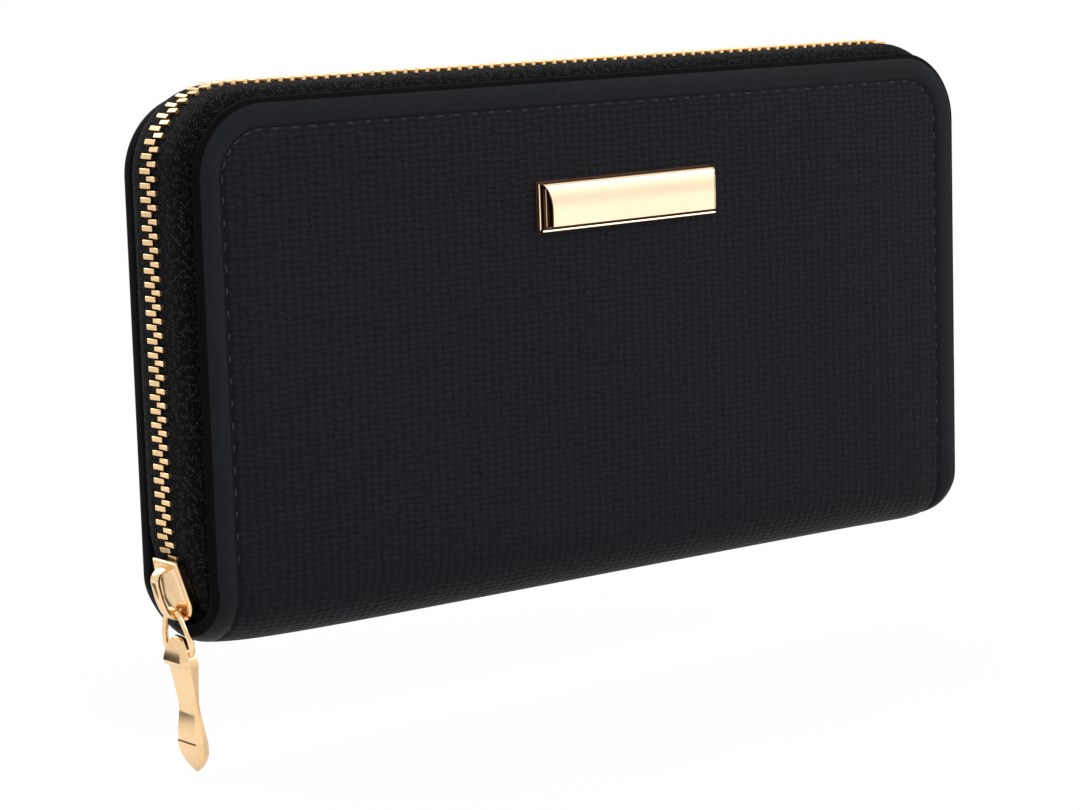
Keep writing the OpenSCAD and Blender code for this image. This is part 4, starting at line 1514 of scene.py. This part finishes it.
@dataclass(frozen=True)
class CoinPocket:
    """The zipped pocket in the middle: walls, folded seam, tapes, teeth and the gussets beside it.

    Attributes:
        finishes: the wallet's materials.
        half_width: half the width of a wall.
        low: height of its foot.
        top: height of its top.
        outer: distance of its outer face from the middle plane.
        gap: distance between the walls.
        scale: size of this zip's teeth against the main one's.
        plane: height of the teeth.
        fold: distance from the middle plane where the tapes turn down.
        leaf_face: distance of the halves' innermost leather from it.
        first_tooth: place of the first tooth along X.
        pitch: distance from tooth to tooth.
        teeth: number of teeth in a row.
        stitch: length and width of a stitch.
    """

    finishes: Finishes
    half_width: float = 90.0
    low: float = 16.2
    top: float = 85.0
    outer: float = 3.2
    gap: float = 4.4
    scale: float = 0.62
    plane: float = 86.988
    fold: float = 3.896
    leaf_face: float = 7.6
    first_tooth: float = -68.28
    pitch: float = 1.9716
    teeth: int = 78
    stitch: Flat = (2.2, 0.42)

    def wall(self, half: Half) -> bpy.types.Object:
        """Leather wall of the pocket, softly swollen on its outer face.

        Args:
            half: the half it faces.

        Returns:
            The new piece.
        """
        x, z = sheet_grid(self.half_width, self.low, self.top, 3.0, 4.0)
        d = from_border(self.half_width, x, z)
        face = self.outer - 0.15 * (1 - eased(d / 1.5)) + 0.12 * eased(d / 30)
        outer, inner = (spots(x, half.value * y, z) for y in (face, self.gap / 2))
        skin = slab(outer, inner, np.stack([x, z], axis=-1))
        return skin.build(f"coin_wall_{half.prefix}_leather", self.finishes.inside)

    def seam(self) -> bpy.types.Object:
        """Folded strip that closes the sides and bottom: a rounded bar, a circle whose sine and cosine are
        drawn out by a power, carried down one side, along and up the other.

        Returns:
            The new piece.
        """
        turn = np.linspace(0, 2 * math.pi, 25)[:-1]
        profile = drawn_out(turn, 0.35) * [1.25, self.gap / 2]
        run = run_along(np.vstack([profile, profile[:1]]))
        lengths = self.half_width - 4.25, self.top - self.low - 7.5
        edge = Edge(self.low + 1.25, ((lengths[0], 0), (3.0 * math.pi / 2, -math.pi / 2), (lengths[1], 0)))
        skin = edge.carry(profile, run, edge.stations(6.0, 0.6))
        return skin.build("coin_seam_cloth", self.finishes.lining)

    def tape(self, half: Half) -> bpy.types.Object:
        """Tape of the coin zip: flat beside the teeth, then down over the wall's outside.

        Args:
            half: the half it faces.

        Returns:
            The new piece.
        """
        outer, level = self.outer + 0.19, self.plane
        flat = [(0.9, level), (self.fold - 0.3, level), (self.fold + 0.1, level - 0.6)]
        profile, around = ribbon(rounded_line([*flat, (outer, self.top - 0.5), (outer, self.top - 6)]), 0.36)
        x = np.linspace(3 - self.half_width, self.half_width - 3, 60)
        points = spots(x[:, None], half.value * profile[None, :, 0], profile[None, :, 1])
        return tube(points, x, around).build(f"coin_tape_{half.prefix}_cloth", self.finishes.tape)

    def tooth_row(self, half: Half) -> bpy.types.Object:
        """One row of the coin zip's teeth, set straight along X.

        Args:
            half: the half it faces.

        Returns:
            The new piece.
        """
        points, faces = Chain(self.finishes).tooth_shape()
        x = self.first_tooth + (np.arange(self.teeth) + half.shift) * self.pitch
        axes = np.array([[1, 0, 0], [0, half.value, 0], [0, 0, 1]], float)
        turned = np.broadcast_to(axes, (self.teeth, 3, 3))
        skin = repeated(points * self.scale, faces, spots(x, 0.0, self.plane), turned)
        return skin.build(f"coin_tooth_row_{half.prefix}", self.finishes.tooth, crease=30.0)

    def gusset(self, half: Half, side: int) -> bpy.types.Object:
        """Cloth folded inward between the pocket and the half's panel: a rounded fold carried upward.

        Args:
            half: the half it reaches to.
            side: -1 on the left and 1 on the right.

        Returns:
            The new piece.
        """
        near, far, x0 = self.outer + 0.25, self.leaf_face - 0.3 - 0.25, self.half_width
        middle, crease = (near + far) / 2, x0 - 6
        folded = [(x0 - 1.2, far), (crease, middle + 0.25), (crease, middle - 0.25), (x0 - 1.2, near)]
        profile, around = ribbon(rounded_line([(x0, far), *folded, (x0, near)]), 0.45)
        z = np.linspace(self.low, self.top - 8, 30)
        points = spots(side * profile[None, :, 0], half.value * profile[None, :, 1], z[:, None])
        name = f"gusset_{half.prefix}_{'left' if side < 0 else 'right'}"
        return tube(points, z, around).build(f"{name}_cloth", self.finishes.lining)

    def stitches(self) -> bpy.types.Object:
        """Thread round the walls and under the tapes.

        Returns:
            The new piece.
        """
        rows, w = [], self.half_width
        z = np.arange(self.low + 3, self.top - 8, 3.0)
        x = np.arange(-w + 4, w - 3.9, 3.0)
        for sign in (float(half.value) for half in Half):
            lines = [(spots(side * (w - 1.8), sign * self.outer, z), (0.0, 0.0, 1.0)) for side in (-1, 1)]
            lines.append((spots(x, sign * self.outer, self.low + 1.8), (1.0, 0.0, 0.0)))
            lines.append((spots(x, sign * (self.outer + 0.36), self.top - 4.6), (1.0, 0.0, 0.0)))
            for place, way in lines:
                normal = np.broadcast_to([0.0, sign, 0.0], place.shape)
                rows.append((place, np.broadcast_to(way, place.shape), normal))
        return stitch_rows("coin_pocket_stitches", rows, self.stitch, self.finishes.thread)

    def build(self) -> None:
        """Makes the pocket's pieces."""
        for half in Half:
            p = half.prefix
            wall = settled(self.wall(half), "coin_pocket", "inside_leather", f"coin_wall_{p}")
            tape = settled(self.tape(half), "coin_pocket", "tape_cloth", f"coin_tape_{p}")
            settled(self.tooth_row(half), "coin_pocket", "tooth_metal", f"coin_teeth_{p}")
            for side in (-1, 1):
                cloth = self.gusset(half, side)
                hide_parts(cloth.name.removesuffix("_cloth"))
                bend_to_half(cloth, half)
        settled(self.seam(), "coin_pocket", "lining_cloth", "coin_seam")
        settled(self.stitches(), "coin_pocket", "inside_leather")


def circle(radius: float, count: int) -> np.ndarray:
    """Points round a circle, count x 2."""
    angle = np.arange(count) * 2 * math.pi / count
    return radius * np.stack([np.cos(angle), np.sin(angle)], axis=1)


def drawn_out(turn: np.ndarray, power: float) -> np.ndarray:
    """Points of a rounded square at angles turn: cosine and sine, each drawn out by a power, n x 2."""
    place = np.stack([np.cos(turn), np.sin(turn)], axis=1)
    return np.sign(place) * np.abs(place) ** power


def swept(line: np.ndarray, section: np.ndarray) -> Skin:
    """Section carried along a line in the YZ plane: its first number goes left and its second along X.

    Args:
        line: n x 2 array.
        section: k x 2 array.

    Returns:
        The closed skin.
    """
    across = line[:, None] + lefts(line)[:, None] * section[None, :, :1]
    points = spots(section[None, :, 1], across[..., 0], across[..., 1])
    return tube(points, run_along(line), np.arange(len(section) + 1) * 0.3)


@dataclass(frozen=True)
class Slider:
    """Slider drawn on its own: across it, along it toward its tail, and out of its outer plate.

    Attributes:
        length: its length.
        width: its width over the shoulders.
        tail: its width at the tail.
        inner: distance of the plates' inner faces from its middle.
        outer: distance of their lips from it.
        slot: half the gap that the tapes run in.
    """

    length: float = 12.0
    width: float = 11.0
    tail: float = 8.0
    inner: float = 1.5
    outer: float = 2.4
    slot: float = 0.45

    def side(self) -> np.ndarray:
        """One side of its plan from the nose to the tail: a quarter round shoulder and a straight taper.

        Returns:
            n x 2 array.
        """
        radius, nose = self.width / 3, -self.length / 2
        turn = np.linspace(0, math.pi / 2, 12)
        across = self.width / 2 - radius + radius * np.sin(turn)
        round_ = np.stack([across, nose + radius * (1 - np.cos(turn))], axis=1)
        straight = np.linspace(round_[-1], (self.tail / 2, -nose), 10)[1:]
        return np.concatenate([round_, straight])

    def plate(self, way: int) -> Skin:
        """One plate: a rounded edge, a raised lip and a dished face.

        Args:
            way: 1 for the outer plate and -1 for the inner one.

        Returns:
            The closed skin.
        """
        side = self.side()
        outline = np.concatenate([side, side[::-1] * [-1, 1]])
        flat = [(share, self.inner) for share in (0, 0.7, 0.96)]
        edge = [(0.995, 1.6), (1.0, 1.8), (0.995, 2.1)]
        lip = [(0.98, 2.28), (0.95, 2.38), (0.92, self.outer), (0.88, 2.38), (0.84, 2.28), (0.79, 2.14)]
        dish = [(0.72, 2.07), (0.5, 2.04), (0, 2.03)]
        return rings(outline, [(share, way * high) for share, high in flat + edge + lip + dish])

    def wall(self, side: int, way: int) -> Skin:
        """Guide wall under a plate's edge, from the shoulder to the tail.

        Args:
            side: -1 on the left and 1 on the right.
            way: 1 under the outer plate and -1 under the inner one.

        Returns:
            The closed skin.
        """
        line, slot = self.side()[8:-1], self.slot
        profile = [
            (0.995, slot + 0.1), (0.985, slot), (0.9, slot), (0.87, slot + 0.1), (0.87, 1.6), (0.995, 1.7),
        ]
        share, high = np.array(profile).T
        points = spots(side * line[:, :1] * share[None], line[:, 1:], way * high[None])
        return tube(points, line[:, 1], np.arange(7) * 0.5)

    def post(self) -> Skin:
        """Wedge between the plates that parts the rows.

        Returns:
            The skin.
        """
        nose = -self.length / 2
        blunt = [(1.3, nose + 2), (1.0, nose + 0.3), (-1.0, nose + 0.3), (-1.3, nose + 2)]
        plan = rounded_line([(0, -0.6), *blunt, (0, -0.6)], 2)[:-1]
        high = np.array([-1.0, 1.0]) * (self.inner + 0.05)
        points = spots(plan[None, :, 0], plan[None, :, 1], high[:, None])
        return tube(points, high, np.arange(len(plan) + 1) * 0.4)

    def body(self) -> Skin:
        """Plates, guide walls and post."""
        walls = [self.wall(side, way) for side in (-1, 1) for way in (-1, 1)]
        return joined(self.plate(1), self.plate(-1), *walls, self.post())

    def bridge(self) -> Skin:
        """Strap of rounded section bent into an arch over the outer plate, lower toward the nose.

        Returns:
            The skin.
        """
        tail, nose = [(4.5, 1.7), (4.5, 3.7), (3.4, 5.15)], [(-4.2, 4.6), (-5.45, 3.1), (-5.4, 1.7)]
        line = rounded_line([*tail, (0.8, 5.25), (-1.6, 5.15), *nose])
        return swept(line, drawn_out(np.arange(24) * math.pi / 12, 0.45) * [0.45, 1.25])


@dataclass(frozen=True)
class Pull:
    """Wire link and faceted tab of the main slider.

    Attributes:
        reach: length of the link between its two bars.
        wire: radius of its wire.
        leg_top: half its width in the slider's eye.
        leg_low: half its width at the tab.
        steps: level, length, rows and rise of each step in the tab's front face.
        blend: how far to each side of a level the tab's measures are averaged.
    """

    reach: float = 8.4
    wire: float = 0.6
    leg_top: float = 1.95
    leg_low: float = 4.6
    steps: tuple[tuple[float, float, int, float], ...] = ((2.25, 0.5, 6, -0.55), (17.7, 0.25, 5, 0.25))
    blend: float = 0.45

    def link(self) -> Skin:
        """Bail bent from round wire, its ends turned into the tab.

        Returns:
            The skin.
        """
        low, half = -self.reach, self.leg_low
        right = [(self.leg_top, 0.0), (half, low + 3.2), (half, low), (2.9, low)]
        line = rounded_line([(-y, z) for y, z in right[::-1]] + right)
        return swept(line, circle(self.wire, 24))

    def tab(self) -> Skin:
        """Tab from its head to its tip: at every level a section with a front face, a ridge on each side
        and a back face. Measures run smoothly from key to key; the front face steps down below the domed
        head and up before the tip, and the steps carry painted shade in dark brass.

        Returns:
            The skin.
        """
        keys = np.array([
            # level, half widths of front, ridge and back, depths of front, back and ridge
            [-3.2, 0.5, 0.9, 0.7, 0.4, 0.3, 0.0],
            [-3.0, 1.1, 1.5, 1.4, 0.7, 0.5, 0.1],
            [-2.6, 1.6, 2.1, 2.0, 0.95, 0.75, 0.2],
            [-1.9, 2.05, 2.65, 2.6, 1.25, 1.0, 0.3],
            [-1.0, 2.45, 3.2, 3.0, 1.6, 1.15, 0.4],
            [0.2, 2.8, 3.7, 3.45, 1.95, 1.3, 0.55],
            [1.2, 3.05, 3.9, 3.7, 2.2, 1.35, 0.65],
            [1.7, 3.12, 3.9, 3.75, 2.25, 1.35, 0.65],
            [2.1, 3.15, 3.9, 3.75, 2.1, 1.35, 0.6],
            [2.7, 3.2, 3.9, 3.75, 1.5, 1.35, 0.6],
            [6.5, 3.0, 3.6, 3.3, 1.15, 1.05, 0.3],
            [10.2, 2.75, 3.25, 2.9, 0.9, 0.8, -0.1],
            [11.8, 2.8, 3.3, 2.95, 0.95, 0.85, -0.05],
            [16.2, 3.1, 3.95, 3.5, 1.78, 1.05, 0.2],
            [18.0, 3.2, 4.15, 3.7, 1.83, 1.15, 0.3],
            [20.0, 2.9, 4.1, 3.6, 1.7, 1.1, 0.3],
            [21.5, 2.3, 3.5, 3.0, 1.4, 0.9, 0.25],
            [22.9, 1.2, 2.2, 1.9, 0.95, 0.6, 0.15],
            [24.0, 0.15, 0.3, 0.25, 0.4, 0.3, 0.05],
        ])
        fine = [at + np.linspace(0, length, count) for at, length, count, _ in self.steps]
        t = np.unique(np.round(np.concatenate([np.linspace(keys[0, 0], keys[-1, 0], 171), *fine]), 3))
        spread, reach = np.linspace(-self.blend, self.blend, 7)[:, None], np.minimum(t - t[0], t[-1] - t)
        look = np.clip(t[None] + spread * np.minimum(1, reach / self.blend)[None], t[0], t[-1])
        a, b, c, front, back, ridge = (
            np.interp(look, keys[:, 0], keys[:, k]).mean(axis=0) for k in range(1, 7)
        )
        stepped, middle = np.zeros(len(t) - 1, bool), (t[:-1] + t[1:]) / 2
        for at, length, _, rise in self.steps:
            front = front + rise * eased((t - at) / length)
            stepped |= (middle > at) & (middle < at + length)
        y = np.stack([a, b, c, -c, -b, -a], axis=1)
        out = np.stack([front, ridge, -back, -back, ridge, front], axis=1)
        skin = tube(spots(y, t[:, None], out), t, np.arange(7) * 0.8)
        # Painted shade: the front faces of the steps take material 1, the dark brass.
        skin.kinds[0] = (stepped[:, None] & (np.arange(6) == 5)[None]).astype(int).ravel()
        return skin


@dataclass(frozen=True)
class Plaque:
    """Plaque folded from sheet: a low crowned face over a tray, open on the left, with groove and lip.

    Attributes:
        finishes: the wallet's materials.
        shell: the shared sizes.
        x: place of its middle along the width.
        z: height of its middle.
        half_width: half its width.
        half_height: half its height.
        thick: thickness of the sheet.
        tilt: how far it is turned off level.
    """

    finishes: Finishes
    shell: Shell = Shell()
    x: float = 3.2
    z: float = 78.8
    half_width: float = 22.7
    half_height: float = 4.9
    thick: float = 0.4
    tilt: float = math.radians(0.45)

    def profile(self) -> np.ndarray:
        """Outer surface from the foot of the lip over the face to the leather: height and distance off it.

        Returns:
            n x 2 array.
        """
        h = self.half_height
        lip = [(0, 0.0), (0, 1.7), (0.08, 1.95), (0.22, 2.02), (0.42, 1.98), (0.52, 1.8)]
        groove = [(0.56, 1.2), (0.8, 1.2), (0.84, 1.75)]
        top = [(-0.35, 1.72), (-0.1, 1.35), (0, 0.8), (0, 0.0)]
        face = np.linspace(-h + 0.95, h - 0.7, 14)
        crown = np.stack([face, 2.12 - 0.22 * (face / h) ** 2], axis=1)
        return np.concatenate([np.array(lip + groove) + [-h, 0], crown, np.array(top) + [h, 0]])

    def shell_skin(self) -> Skin:
        """The face and its turned-in edges, with the left end cut back in a curve below the top corner.

        Returns:
            The skin.
        """
        w, h, outer = self.half_width, self.half_height, self.profile()
        inner = outer - self.thick * lefts(outer) * [0.6, 1.0]
        inner[:, 1] = np.maximum(inner[:, 1], 0)
        ring = np.concatenate([outer, inner[::-1]])
        share = np.clip((ring[:, 0] + h) / (2 * h), 0, 1)
        left = np.where(ring[:, 0] < -h + 0.65, 0.0, 0.25 + 2.5 * (1 - share**5)) - w
        along = np.linspace(0, 1, 24)
        x = left[None] + along[:, None] * (w - left[None])
        skin = tube(spots(x, ring[None, :, 0], ring[None, :, 1]), along * 45, np.arange(len(ring) + 1) * 0.4)
        # Painted shade: the inner faces and the groove under the face take the dark brass.
        dark = np.zeros((len(along) - 1, len(ring)), int)
        dark[:, len(outer):] = 1
        dark[:, 5:8] = 1
        k, total = np.arange(len(outer) - 1), len(ring)
        rim = np.stack([k, k + 1, total - 2 - k, total - 1 - k], axis=1)
        skin.faces[1:] = [rim, rim + (len(along) - 1) * total]
        skin.places[1:] = [skin.points[f][..., 1:] for f in skin.faces[1:]]
        skin.kinds = [dark.ravel(), np.zeros(len(rim), int), np.zeros(len(rim), int)]
        return skin

    def end_cap(self) -> Skin:
        """Closed right end.

        Returns:
            The skin.
        """
        outer, x = self.profile(), self.half_width - np.array([self.thick, 0.0])
        points = spots(x[:, None], outer[None, :, 0], outer[None, :, 1])
        return tube(points, np.array([0.0, self.thick]), np.arange(len(outer) + 1) * 0.4)

    def block(self, low: Place, high: Place, kind: int) -> Skin:
        """Bar with its edges cut by 0.06 mm.

        Args:
            low: its lowest corner.
            high: its highest corner.
            kind: its material's number.

        Returns:
            The closed skin.
        """
        a, b = np.array(low), np.array(high)
        points, faces = chamfered_bar(tuple(b - a), 0.06)
        skin = repeated(points, faces, ((a + b) / 2)[None], np.eye(3)[None])
        skin.kinds = [np.full(len(f), kind) for f in skin.faces]
        return skin

    def build(self) -> None:
        """Makes the plaque: shell, closed end, tray with an upright rim at its open end, stepped core."""
        w, h = self.half_width, self.half_height
        parts = [
            self.shell_skin(), self.end_cap(),
            # Painted shade: the tray, which shows as a dark line round the face, and the core, seen through
            # the open end, take the dark brass.
            self.block((-w - 0.15, -h - 0.2, 0.0), (w + 0.2, h + 0.25, 0.35), 1),
            self.block((-w, -h + 0.3, 0.0), (-w + 0.3, h - 0.2, 1.05), 0),
            self.block((-w + 1.75, -h + 0.9, 0.3), (-w + 1.9, h - 1.2, 1.0), 0),
            self.block((-w + 1.2, -h + 0.7, 0.3), (w - 0.5, h - 0.8, 0.9), 1),
        ]
        c, n = math.cos(self.tilt), math.sin(self.tilt)
        seat = Mount((self.x, -self.shell.face - 0.3, self.z), ((c, 0, n), (-n, 0, c), (0, -1, 0)))
        skin = seat.set(joined(*parts))
        piece = skin.build("plaque_plate", self.finishes.plaque, self.finishes.shaded, crease=28.0)
        round_edges(piece, 0.05, 2)
        settled(piece, "front_half", "plaque_metal", "plaque")


def round_edges(piece: bpy.types.Object, width: float, segments: int = 3) -> None:
    """Rounds a piece's sharp edges.

    Args:
        piece: the piece.
        width: width of the rounding, in millimetres.
        segments: faces across it.
    """
    bevel = piece.modifiers.new("ease", "BEVEL")
    bevel.width, bevel.segments, bevel.limit_method = width * MM, segments, "ANGLE"
    bevel.angle_limit = math.radians(28)
    bevel.use_clamp_overlap = True


def leaning(angle: float) -> tuple[Place, Place]:
    """Upward and outward axes of a part on the slider's side that leans by that angle, in radians."""
    sine, cosine = math.sin(angle), math.cos(angle)
    return (-sine, 0, cosine), (-cosine, 0, -sine)


@dataclass(frozen=True)
class Hardware:
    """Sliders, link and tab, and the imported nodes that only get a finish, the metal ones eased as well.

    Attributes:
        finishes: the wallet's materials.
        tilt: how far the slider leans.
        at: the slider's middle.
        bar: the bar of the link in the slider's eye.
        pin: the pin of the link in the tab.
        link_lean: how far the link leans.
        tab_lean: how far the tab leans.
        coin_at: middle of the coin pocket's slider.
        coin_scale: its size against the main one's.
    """

    finishes: Finishes
    tilt: float = math.radians(14)
    at: Place = (-97.157, 0.0, 12.2)
    bar: Place = (-99.371, 0.0, 7.85)
    pin: Place = (-98.057, 0.0, -0.447)
    link_lean: float = math.radians(9)
    tab_lean: float = math.radians(6)
    coin_at: Place = (-70.0, 0.0, 86.988)
    coin_scale: float = 0.62

    def ease(self, node: bpy.types.Object, width: float) -> None:
        """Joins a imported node's loose faces and rounds its sharp edges.

        Args:
            node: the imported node.
            width: width of the rounding, in millimetres.
        """
        weld = node.modifiers.new("join", "WELD")
        weld.merge_threshold = MERGED
        round_edges(node, width)

    def make(
        self, name: str, skin: Skin, mount: Mount, body: str, replaced: str, width: float = 0.0
    ) -> None:
        """Builds one gold piece at its place and hands it over.

        Args:
            name: the piece's name.
            skin: its shape, drawn on its own.
            mount: where it is set.
            body: the body it rides on.
            replaced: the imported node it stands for.
            width: how much its sharp edges are rounded.
        """
        # Material 1 is the dark brass of painted shade, used on the tab's steps.
        piece = mount.set(skin).build(name, self.finishes.gold, self.finishes.shaded, crease=24.0)
        if width:
            round_edges(piece, width, 2)
        settled(piece, body, "gold_metal", replaced)

    def build(self, nodes: dict[str, bpy.types.Object]) -> None:
        """Makes both sliders, the link and the tab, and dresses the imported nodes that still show.

        Args:
            nodes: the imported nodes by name.
        """
        across, slider, pull = (0, 1, 0), Slider(), Pull()
        seat = Mount(self.at, (across, *leaning(self.tilt)))
        coin = Mount(self.coin_at, (across, (1, 0, 0), (0, 0, 1)), self.coin_scale)
        for prefix, mount in (("", seat), ("coin_", coin)):
            body = f"{prefix}slider"
            self.make(f"{body}_plates", slider.body(), mount, body, f"{body}_body")
            self.make(f"{body}_strap", slider.bridge(), mount, body, f"{body}_bridge")
        up, out = leaning(self.link_lean)
        self.make("link_wire", pull.link(), Mount(self.bar, (out, across, up)), "pull_link", "pull_link")
        up, out = leaning(self.tab_lean)
        down = tuple(-v for v in up)
        hanging = Mount(self.pin, (across, down, out))
        self.make("tab_facets", pull.tab(), hanging, "pull_tab", "pull_tab", 0.1)
        f = self.finishes
        plans = {
            "plaque_back_plate": (f.steel, 0.1), "coin_pull": (f.gold, 0.2), "end_stop": (f.tooth, 0.25),
            "closing_stops": (f.tooth, 0.2), "coin_end_stop": (f.tooth, 0.15), "tape_tails": (f.tape, 0),
            "front_board": (f.board, 0), "back_board": (f.board, 0),
        }
        for name, (material, width) in plans.items():
            f.dress(nodes[name], material)
            if width:
                self.ease(nodes[name], width)
            LOG.info("%s: packed node, %s", name, material.name)


# ---- the studio -----------------------------------------------------------------------------


@dataclass(frozen=True)
class Studio:
    """Camera, pale floor, white surround and soft lamps.

    Attributes:
        eye: place of the camera.
        ahead: where it looks.
        right: direction of its right side.
        above: direction of its top.
        lens: its focal length.
        floor_z: height of the floor, under the hanging tab.
        floor_half: half the width of the floor.
    """

    eye: Place = (-407.9, -510.4, 134.7)
    ahead: Place = (0.60822, 0.77951, -0.14978)
    right: Place = (0.78533, -0.61839, -0.02929)
    above: Place = (0.11545, 0.09981, 0.98829)
    lens: float = 106.4
    floor_z: float = -25.0
    floor_half: float = 1600.0

    def camera(self) -> None:
        """Sets the camera: its columns are right, up and back."""
        data = bpy.data.cameras.new("camera")
        data.lens, data.sensor_width, data.sensor_fit = self.lens, 36.0, "HORIZONTAL"
        data.clip_start, data.clip_end = 0.05, 20.0
        camera = in_scene("camera", data)
        turn = Matrix((self.right, self.above, tuple(-a for a in self.ahead))).transposed()
        camera.matrix_world = Matrix.Translation(Vector(self.eye) * MM) @ turn.to_4x4()
        bpy.context.scene.camera = camera

    def surround(self) -> None:
        """White where it is seen or mirrored, and a plain level where it only lights."""
        world = bpy.data.worlds.new("surround")
        bpy.context.scene.world = world
        world.use_nodes = True
        b = Bench(world.node_tree)
        rays = b.node("LightPath").outputs
        mirrored = b.math("MAXIMUM", rays["Is Glossy Ray"], rays["Is Transmission Ray"])
        seen = b.math("MAXIMUM", rays["Is Camera Ray"], mirrored)
        sky = b.node("Background", {"Color": (1, 1, 1, 1), "Strength": b.mix(seen, 0.55, 1.0)})
        b.node("OutputWorld", {"Surface": sky.outputs[0]})

    def pane(self, name: str, corners: list[Place], material: bpy.types.Material) -> bpy.types.Object:
        """One face.

        Args:
            name: its name.
            corners: its four corners, in millimetres.
            material: its material.

        Returns:
            The new object.
        """
        mesh = bpy.data.meshes.new(name)
        mesh.from_pydata([tuple(v * MM for v in corner) for corner in corners], [], [(0, 1, 2, 3)])
        mesh.materials.append(material)
        return in_scene(name, mesh)

    def floor(self) -> None:
        """Plain pale floor: most of what it shows is its own white, and all of it far off, so that shadows
        on it stay soft."""
        material = bpy.data.materials.new("pale floor")
        material.use_nodes = True
        b = Bench(material.node_tree)
        place = b.node("TexCoord").outputs["Object"]
        away = b.node("VectorMath", {0: place}, operation="LENGTH").outputs["Value"]
        fade = {"Value": away, "From Min": 0.12, "From Max": 0.45, "To Min": 0.93, "To Max": 1.0}
        far = b.node("MapRange", fade, interpolation_type="SMOOTHSTEP").outputs["Result"]
        share = b.math("MULTIPLY", b.node("LightPath").outputs["Is Camera Ray"], far)
        dull = b.node("BsdfDiffuse", {"Color": (0.9, 0.9, 0.9, 1)}).outputs[0]
        white = b.node("Emission", {"Color": (1, 1, 1, 1), "Strength": 1.0}).outputs[0]
        mixed = b.node("MixShader", {0: share, 1: dull, 2: white})
        b.node("OutputMaterial", {"Surface": mixed.outputs[0]})
        half, z = self.floor_half, self.floor_z
        corners = [(-half, -half, z), (half, -half, z), (half, half, z), (-half, half, z)]
        floor = self.pane("floor", corners, material)

    def card(self, name: str, at: Place, across: Flat, width: float, height: float) -> None:
        """Dark upright card that only mirrors see.

        Args:
            name: its name.
            at: the middle of its foot, in millimetres.
            across: level direction of its width.
            width: its width.
            height: its height.
        """
        x, y, z = at
        a, c = across[0] * width / 2, across[1] * width / 2
        near, far, top = (x - a, y - c), (x + a, y + c), z + height
        corners = [(*near, z), (*far, z), (*far, top), (*near, top)]
        material, b, shader = new_material(name)
        b.feed(shader, {"Base Color": linear((30, 24, 20)), "Roughness": 1.0})
        card = self.pane(name, corners, material)
        card.visible_camera = card.visible_diffuse = card.visible_shadow = False

    def lamp(self, name: str, at: Place, size: float, watts: float) -> None:
        """Soft square lamp aimed at the wallet's middle.

        Args:
            name: its name.
            at: its place, in metres.
            size: its width, in metres.
            watts: its power.
        """
        data = bpy.data.lights.new(name, "AREA")
        data.shape, data.size, data.energy = "SQUARE", size, watts
        lamp = in_scene(name, data)
        lamp.location = Vector(at)
        lamp.rotation_mode = "QUATERNION"
        lamp.rotation_quaternion = (Vector((0, 0, 0.05)) - lamp.location).to_track_quat("-Z", "Y")

    def build(self) -> None:
        """Sets everything up."""
        bpy.context.scene.view_settings.view_transform = "Standard"
        self.camera()
        self.surround()
        self.floor()
        self.card("dark_card", (-135.5, 59.5, -24.9), (0.855, 0.519), 15.0, 22.0)
        self.lamp("key", (-0.15, -1.1, 1.0), 0.7, 9.0)
        self.lamp("fill", (0.9, -0.8, 0.5), 0.8, 5.0)
        self.lamp("back", (-0.2, 1.1, 0.8), 0.8, 6.0)
        self.lamp("top", (0.0, 0.3, 1.2), 0.9, 6.0)


def main() -> None:
    """Loads the frame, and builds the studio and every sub-assembly."""
    logging.basicConfig(level=logging.INFO, format="%(message)s")
    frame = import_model()
    Studio().build()
    finishes = Finishes()
    for half in Half:
        Cover(half, finishes).build()
        Inside(half, finishes).build()
    Chain(finishes).build()
    CoinPocket(finishes).build()
    Plaque(finishes).build()
    Hardware(finishes).build(frame["nodes"])


if __name__ == "__main__":
    main()
